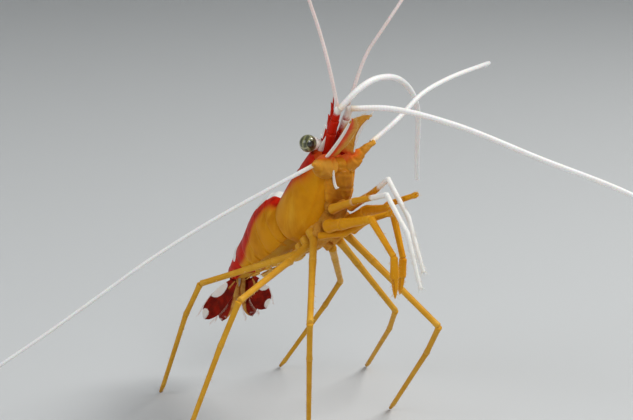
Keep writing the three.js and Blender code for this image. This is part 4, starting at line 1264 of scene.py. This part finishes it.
@on_both_sides
def build_walking_legs(name, sign):
    for number, (place, upper_length, lower_length) in WALKING_LEGS.items():
        spot, swing = STANCE[name][number]
        hip, foot = body(mirrored(place, sign)), ground([*spot, 0.0])
        knee = knee_of(hip, foot, upper_length, lower_length, swing)
        flat = unit(np.cross(foot - hip, knee - hip))
        bow = unit(knee - (hip + foot) / 2) * LOWER_BOW
        ischium = part_way(hip, knee, 0.3)
        carpus, propodus = part_way(knee, foot, 0.3) + bow, part_way(knee, foot, 0.92)
        toe = foot + Z_AXIS * CLAW_HEIGHT
        upper, lower, spines, hairs = Form(), Form(), Roots(), Roots()
        chain(upper, [hip + AXES[2] * 1.3, hip, ischium, knee], [0.58, 0.5, 0.42, 0.36], [(0, 0, 0)] * 4, flat)
        make(f"leg_{number}_thigh_{name}", upper, LEG, "walking_leg", [f"leg_{number}_upper_{name}"])
        segment(lower, knee, carpus, 0.35, 0.33, flat, waist=0.05, knuckle=0.15, end_tint=(0, 0.1, 0))
        segment(lower, carpus - unit(propodus - carpus) * 0.2, propodus, 0.32, 0.27, flat, waist=0.02, knuckle=0.08)
        segment(lower, propodus - unit(toe - propodus) * 0.1, toe, 0.27, 0.16, flat, waist=-0.1, knuckle=0.05,
                end_tint=(0.2, 0, 0.5), sides=14)
        spur = part_way(propodus, toe, 0.45) - bow * 0.3
        segment(lower, part_way(propodus, toe, 0.2), (spur + toe) / 2 - bow * 0.5, 0.12, 0.03, flat, knuckle=0,
                tint=(0, 0, 0.5), sides=10)
        make(f"leg_{number}_shin_{name}", lower, LEG, "walking_leg", [f"leg_{number}_lower_{name}"])
        inner = unit((hip + foot) / 2 - knee)
        for share in np.linspace(0.15, 0.97, 17):
            root = part_way(carpus, propodus, share) + inner * 0.22
            spines.add(root, unit(inner + unit(foot - knee) * 1.1) * 0.32)
        for share in (0.35, 0.55, 0.75, 0.93):
            root = part_way(ischium, knee, share) + flat * 0.3 * sign
            spines.add(root, unit(flat * sign + unit(knee - hip)) * 0.42)
        spines.grow(f"leg_{number}_spines_{name}", "walking_leg", AMBER_BRISTLE, thickness=0.045, sides=6)
        hairs.on_limb(carpus, propodus, 0.3, 0.25, flat, count=46, length=0.34)
        hairs.on_limb(hip, knee, 0.5, 0.35, flat, count=34, length=0.3)
        hairs.on_limb(propodus, toe, 0.25, 0.15, flat, count=22, length=0.32, share=(0.05, 0.72))
        hairs.grow(f"leg_{number}_hairs_{name}", "walking_leg", AMBER_BRISTLE, thickness=0.014)


# Feelers: name, number of solids, girth at root and tip, root in the body frame, finish, slot, and the rest of the
# line in the ground frame.
FEELERS = [
    ("antenna_right", 2, 0.24, 0.2, (8.05, -4.4, -1.72), WHITE_FEELER, "feeler_white", [
        (4.1, -8.6, 29.85), (0.6, -14.1, 26.15), (-3.1, -19.9, 21.75), (-6.7, -25.7, 16.8), (-10.4, -31.6, 11.8),
        (-14.3, -38.5, 6.9), (-17.5, -47, 4.5), (-19, -57, 5.2), (-18, -67, 8.5)]),
    ("antenna_left", 2, 0.29, 0.22, (8.4, 3.95, 0.22), WHITE_FEELER, "feeler_white", [
        (4.9, 8.1, 36.4), (3.9, 11.9, 38.7), (1.4, 17.3, 39.8), (-4.3, 27.1, 40.2), (-21.8, 40.7, 37.2),
        (-45, 58, 33)]),
    ("antennule_whip_right", 3, 0.37, 0.3, (11.9, -0.78, 2.7), WHITE_FEELER, "feeler_white", [
        (6.85, 1.2, 40.45), (6.7, 3.3, 41.45), (5.35, 6.6, 41.45), (2.15, 10.9, 40), (-1.25, 14.75, 37.4),
        (-5.2, 18.05, 33.9), (-10.2, 21.4, 29), (-15.9, 25.4, 24.2)]),
    ("antennule_whip_left", 2, 0.34, 0.27, (11.9, 0.78, 2.7), WHITE_FEELER, "feeler_white", [
        (8.8, 4.6, 38.4), (13, 10.4, 36.65), (18.8, 17.9, 33), (25.6, 25.8, 29.1), (30.4, 31.6, 24.9),
        (34, 35.6, 20.6)]),
    ("antennule_thread_right", 1, 0.22, 0.17, (11.8, -0.72, 3.3), PINK_FEELER, "feeler_pink", [
        (5.9, -1.9, 43.4), (5.35, -2.7, 47), (5.1, -4.05, 50.9), (5.2, -6.75, 57.6), (6.2, -10.75, 65.2)]),
    ("antennule_thread_left", 1, 0.22, 0.17, (11.8, 0.72, 3.3), PINK_FEELER, "feeler_pink", [
        (6.55, 2.65, 44.4), (7.35, 4.25, 47.2), (7.75, 6.65, 50.5), (7.9, 10.75, 55.9), (7.9, 16.45, 62.3)]),
]
RING_LENGTH, FEELER_STEPS = 0.34, 160


def build_feelers():
    for name, solids, thick, thin, root, finish, slot, places in FEELERS:
        line = route([body(root), *ground(places)], FEELER_STEPS)
        length = np.linalg.norm(np.diff(line, axis=0), axis=1).sum()
        mesh = new_mesh(name + "_line", line, edges=[(i, i + 1) for i in range(FEELER_STEPS - 1)])
        store(mesh, "girth", np.linspace(thick, thin, FEELER_STEPS) * MM)
        nodes = [name] if solids == 1 else [f"{name}_{i + 1}" for i in range(solids)]
        FEELER.grow(name + "_rings", mesh, slot, nodes, Rings=int(length / RING_LENGTH), Sides=14, Finish=finish)


# Camera, floor and light.
CAMERA_AZIMUTH, CAMERA_ELEVATION = math.radians(58), math.radians(12)
CAMERA_DISTANCE, CAMERA_LENS, SENSOR_WIDTH = 230, 113.15, 36
TO_RIGHT = np.array([math.cos(CAMERA_AZIMUTH), math.sin(CAMERA_AZIMUTH), 0])
TO_CAMERA = np.array([math.sin(CAMERA_AZIMUTH) * math.cos(CAMERA_ELEVATION),
                      -math.cos(CAMERA_AZIMUTH) * math.cos(CAMERA_ELEVATION), math.sin(CAMERA_ELEVATION)])
UPWARD = np.cross(TO_CAMERA, TO_RIGHT)
TARGET = THORAX + 0.15 * TO_RIGHT - 2.2 * UPWARD
FLOOR_RADIUS, SWEEP_RADIUS, WALL_HEIGHT = 700, 260, 1500
LIGHTS = [
    ("key", 330 * TO_RIGHT + 60 * TO_CAMERA + 420 * UPWARD, 260, 2.0, (1, 0.98, 0.95)),
    ("fill", -380 * TO_RIGHT + 260 * TO_CAMERA + 160 * UPWARD, 320, 0.6, (0.95, 0.97, 1)),
    ("front", 120 * TO_RIGHT + 420 * TO_CAMERA + 200 * UPWARD, 200, 0.6, (1, 1, 1)),
]
AMBIENT = 0.4


def aim(obj, offset):
    """Sets an object off from the target and turns it to face it."""
    place = TARGET + offset
    obj.location = place * MM
    obj.rotation_euler = Vector((TARGET - place).tolist()).to_track_quat("-Z", "Y").to_euler()


def build_camera():
    camera = bpy.data.cameras.new("camera")
    camera.sensor_width, camera.lens, camera.clip_start = SENSOR_WIDTH, CAMERA_LENS, 0.01
    bpy.context.scene.camera = put("camera", camera)
    aim(bpy.context.scene.camera, TO_CAMERA * CAMERA_DISTANCE)


def build_floor():
    """A pale floor that sweeps up into a round wall."""
    sweep = np.linspace(0.1, math.pi / 2, 14)
    flat = np.linspace(200, FLOOR_RADIUS, 12)
    radius = np.concatenate([[1], flat, FLOOR_RADIUS + SWEEP_RADIUS * np.sin(sweep), [FLOOR_RADIUS + SWEEP_RADIUS]])
    height = np.concatenate([np.zeros(13), SWEEP_RADIUS * (1 - np.cos(sweep)), [WALL_HEIGHT]])
    angle = circle(96)
    points = grid(radius[:, None] * np.cos(angle), radius[:, None] * np.sin(angle), height[:, None])
    rows, sides = points.shape[:2]
    faces = [(i * sides + j, (i + 1) * sides + j, (i + 1) * sides + (j + 1) % sides, i * sides + (j + 1) % sides)
             for i in range(rows - 1) for j in range(sides)]
    mesh = new_mesh("floor", points.reshape(-1, 3), faces=[*faces, tuple(range(sides))])
    mesh.materials.append(Finish("pale floor", Roughness=0.9).done((0.60, 0.62, 0.63)))
    mesh.shade_smooth()
    floor = put("floor", mesh)


def build_lights():
    for name, offset, size, power, colour in LIGHTS:
        light = bpy.data.lights.new(name, "AREA")
        light.shape, light.size, light.energy, light.color = "DISK", size * MM, power, colour
        aim(put(name, light), offset)
    world = bpy.data.worlds.new("studio")
    bpy.context.scene.world = world
    world.use_nodes = True
    world.node_tree.nodes["Background"].inputs["Color"].default_value = (1, 1, 1, 1)
    world.node_tree.nodes["Background"].inputs["Strength"].default_value = AMBIENT


for build in (
    build_carapace, build_rostrum, build_abdomen, build_tail_fan, build_swimmerets,
    build_eyes, build_feeler_bases, build_antennal_scales, build_mouth,
    build_maxillipeds, build_first_legs, build_second_legs, build_breast, build_walking_legs, build_feelers,
    build_camera, build_floor, build_lights,
):
    build()
bpy.context.scene.view_settings.view_transform = "Standard"
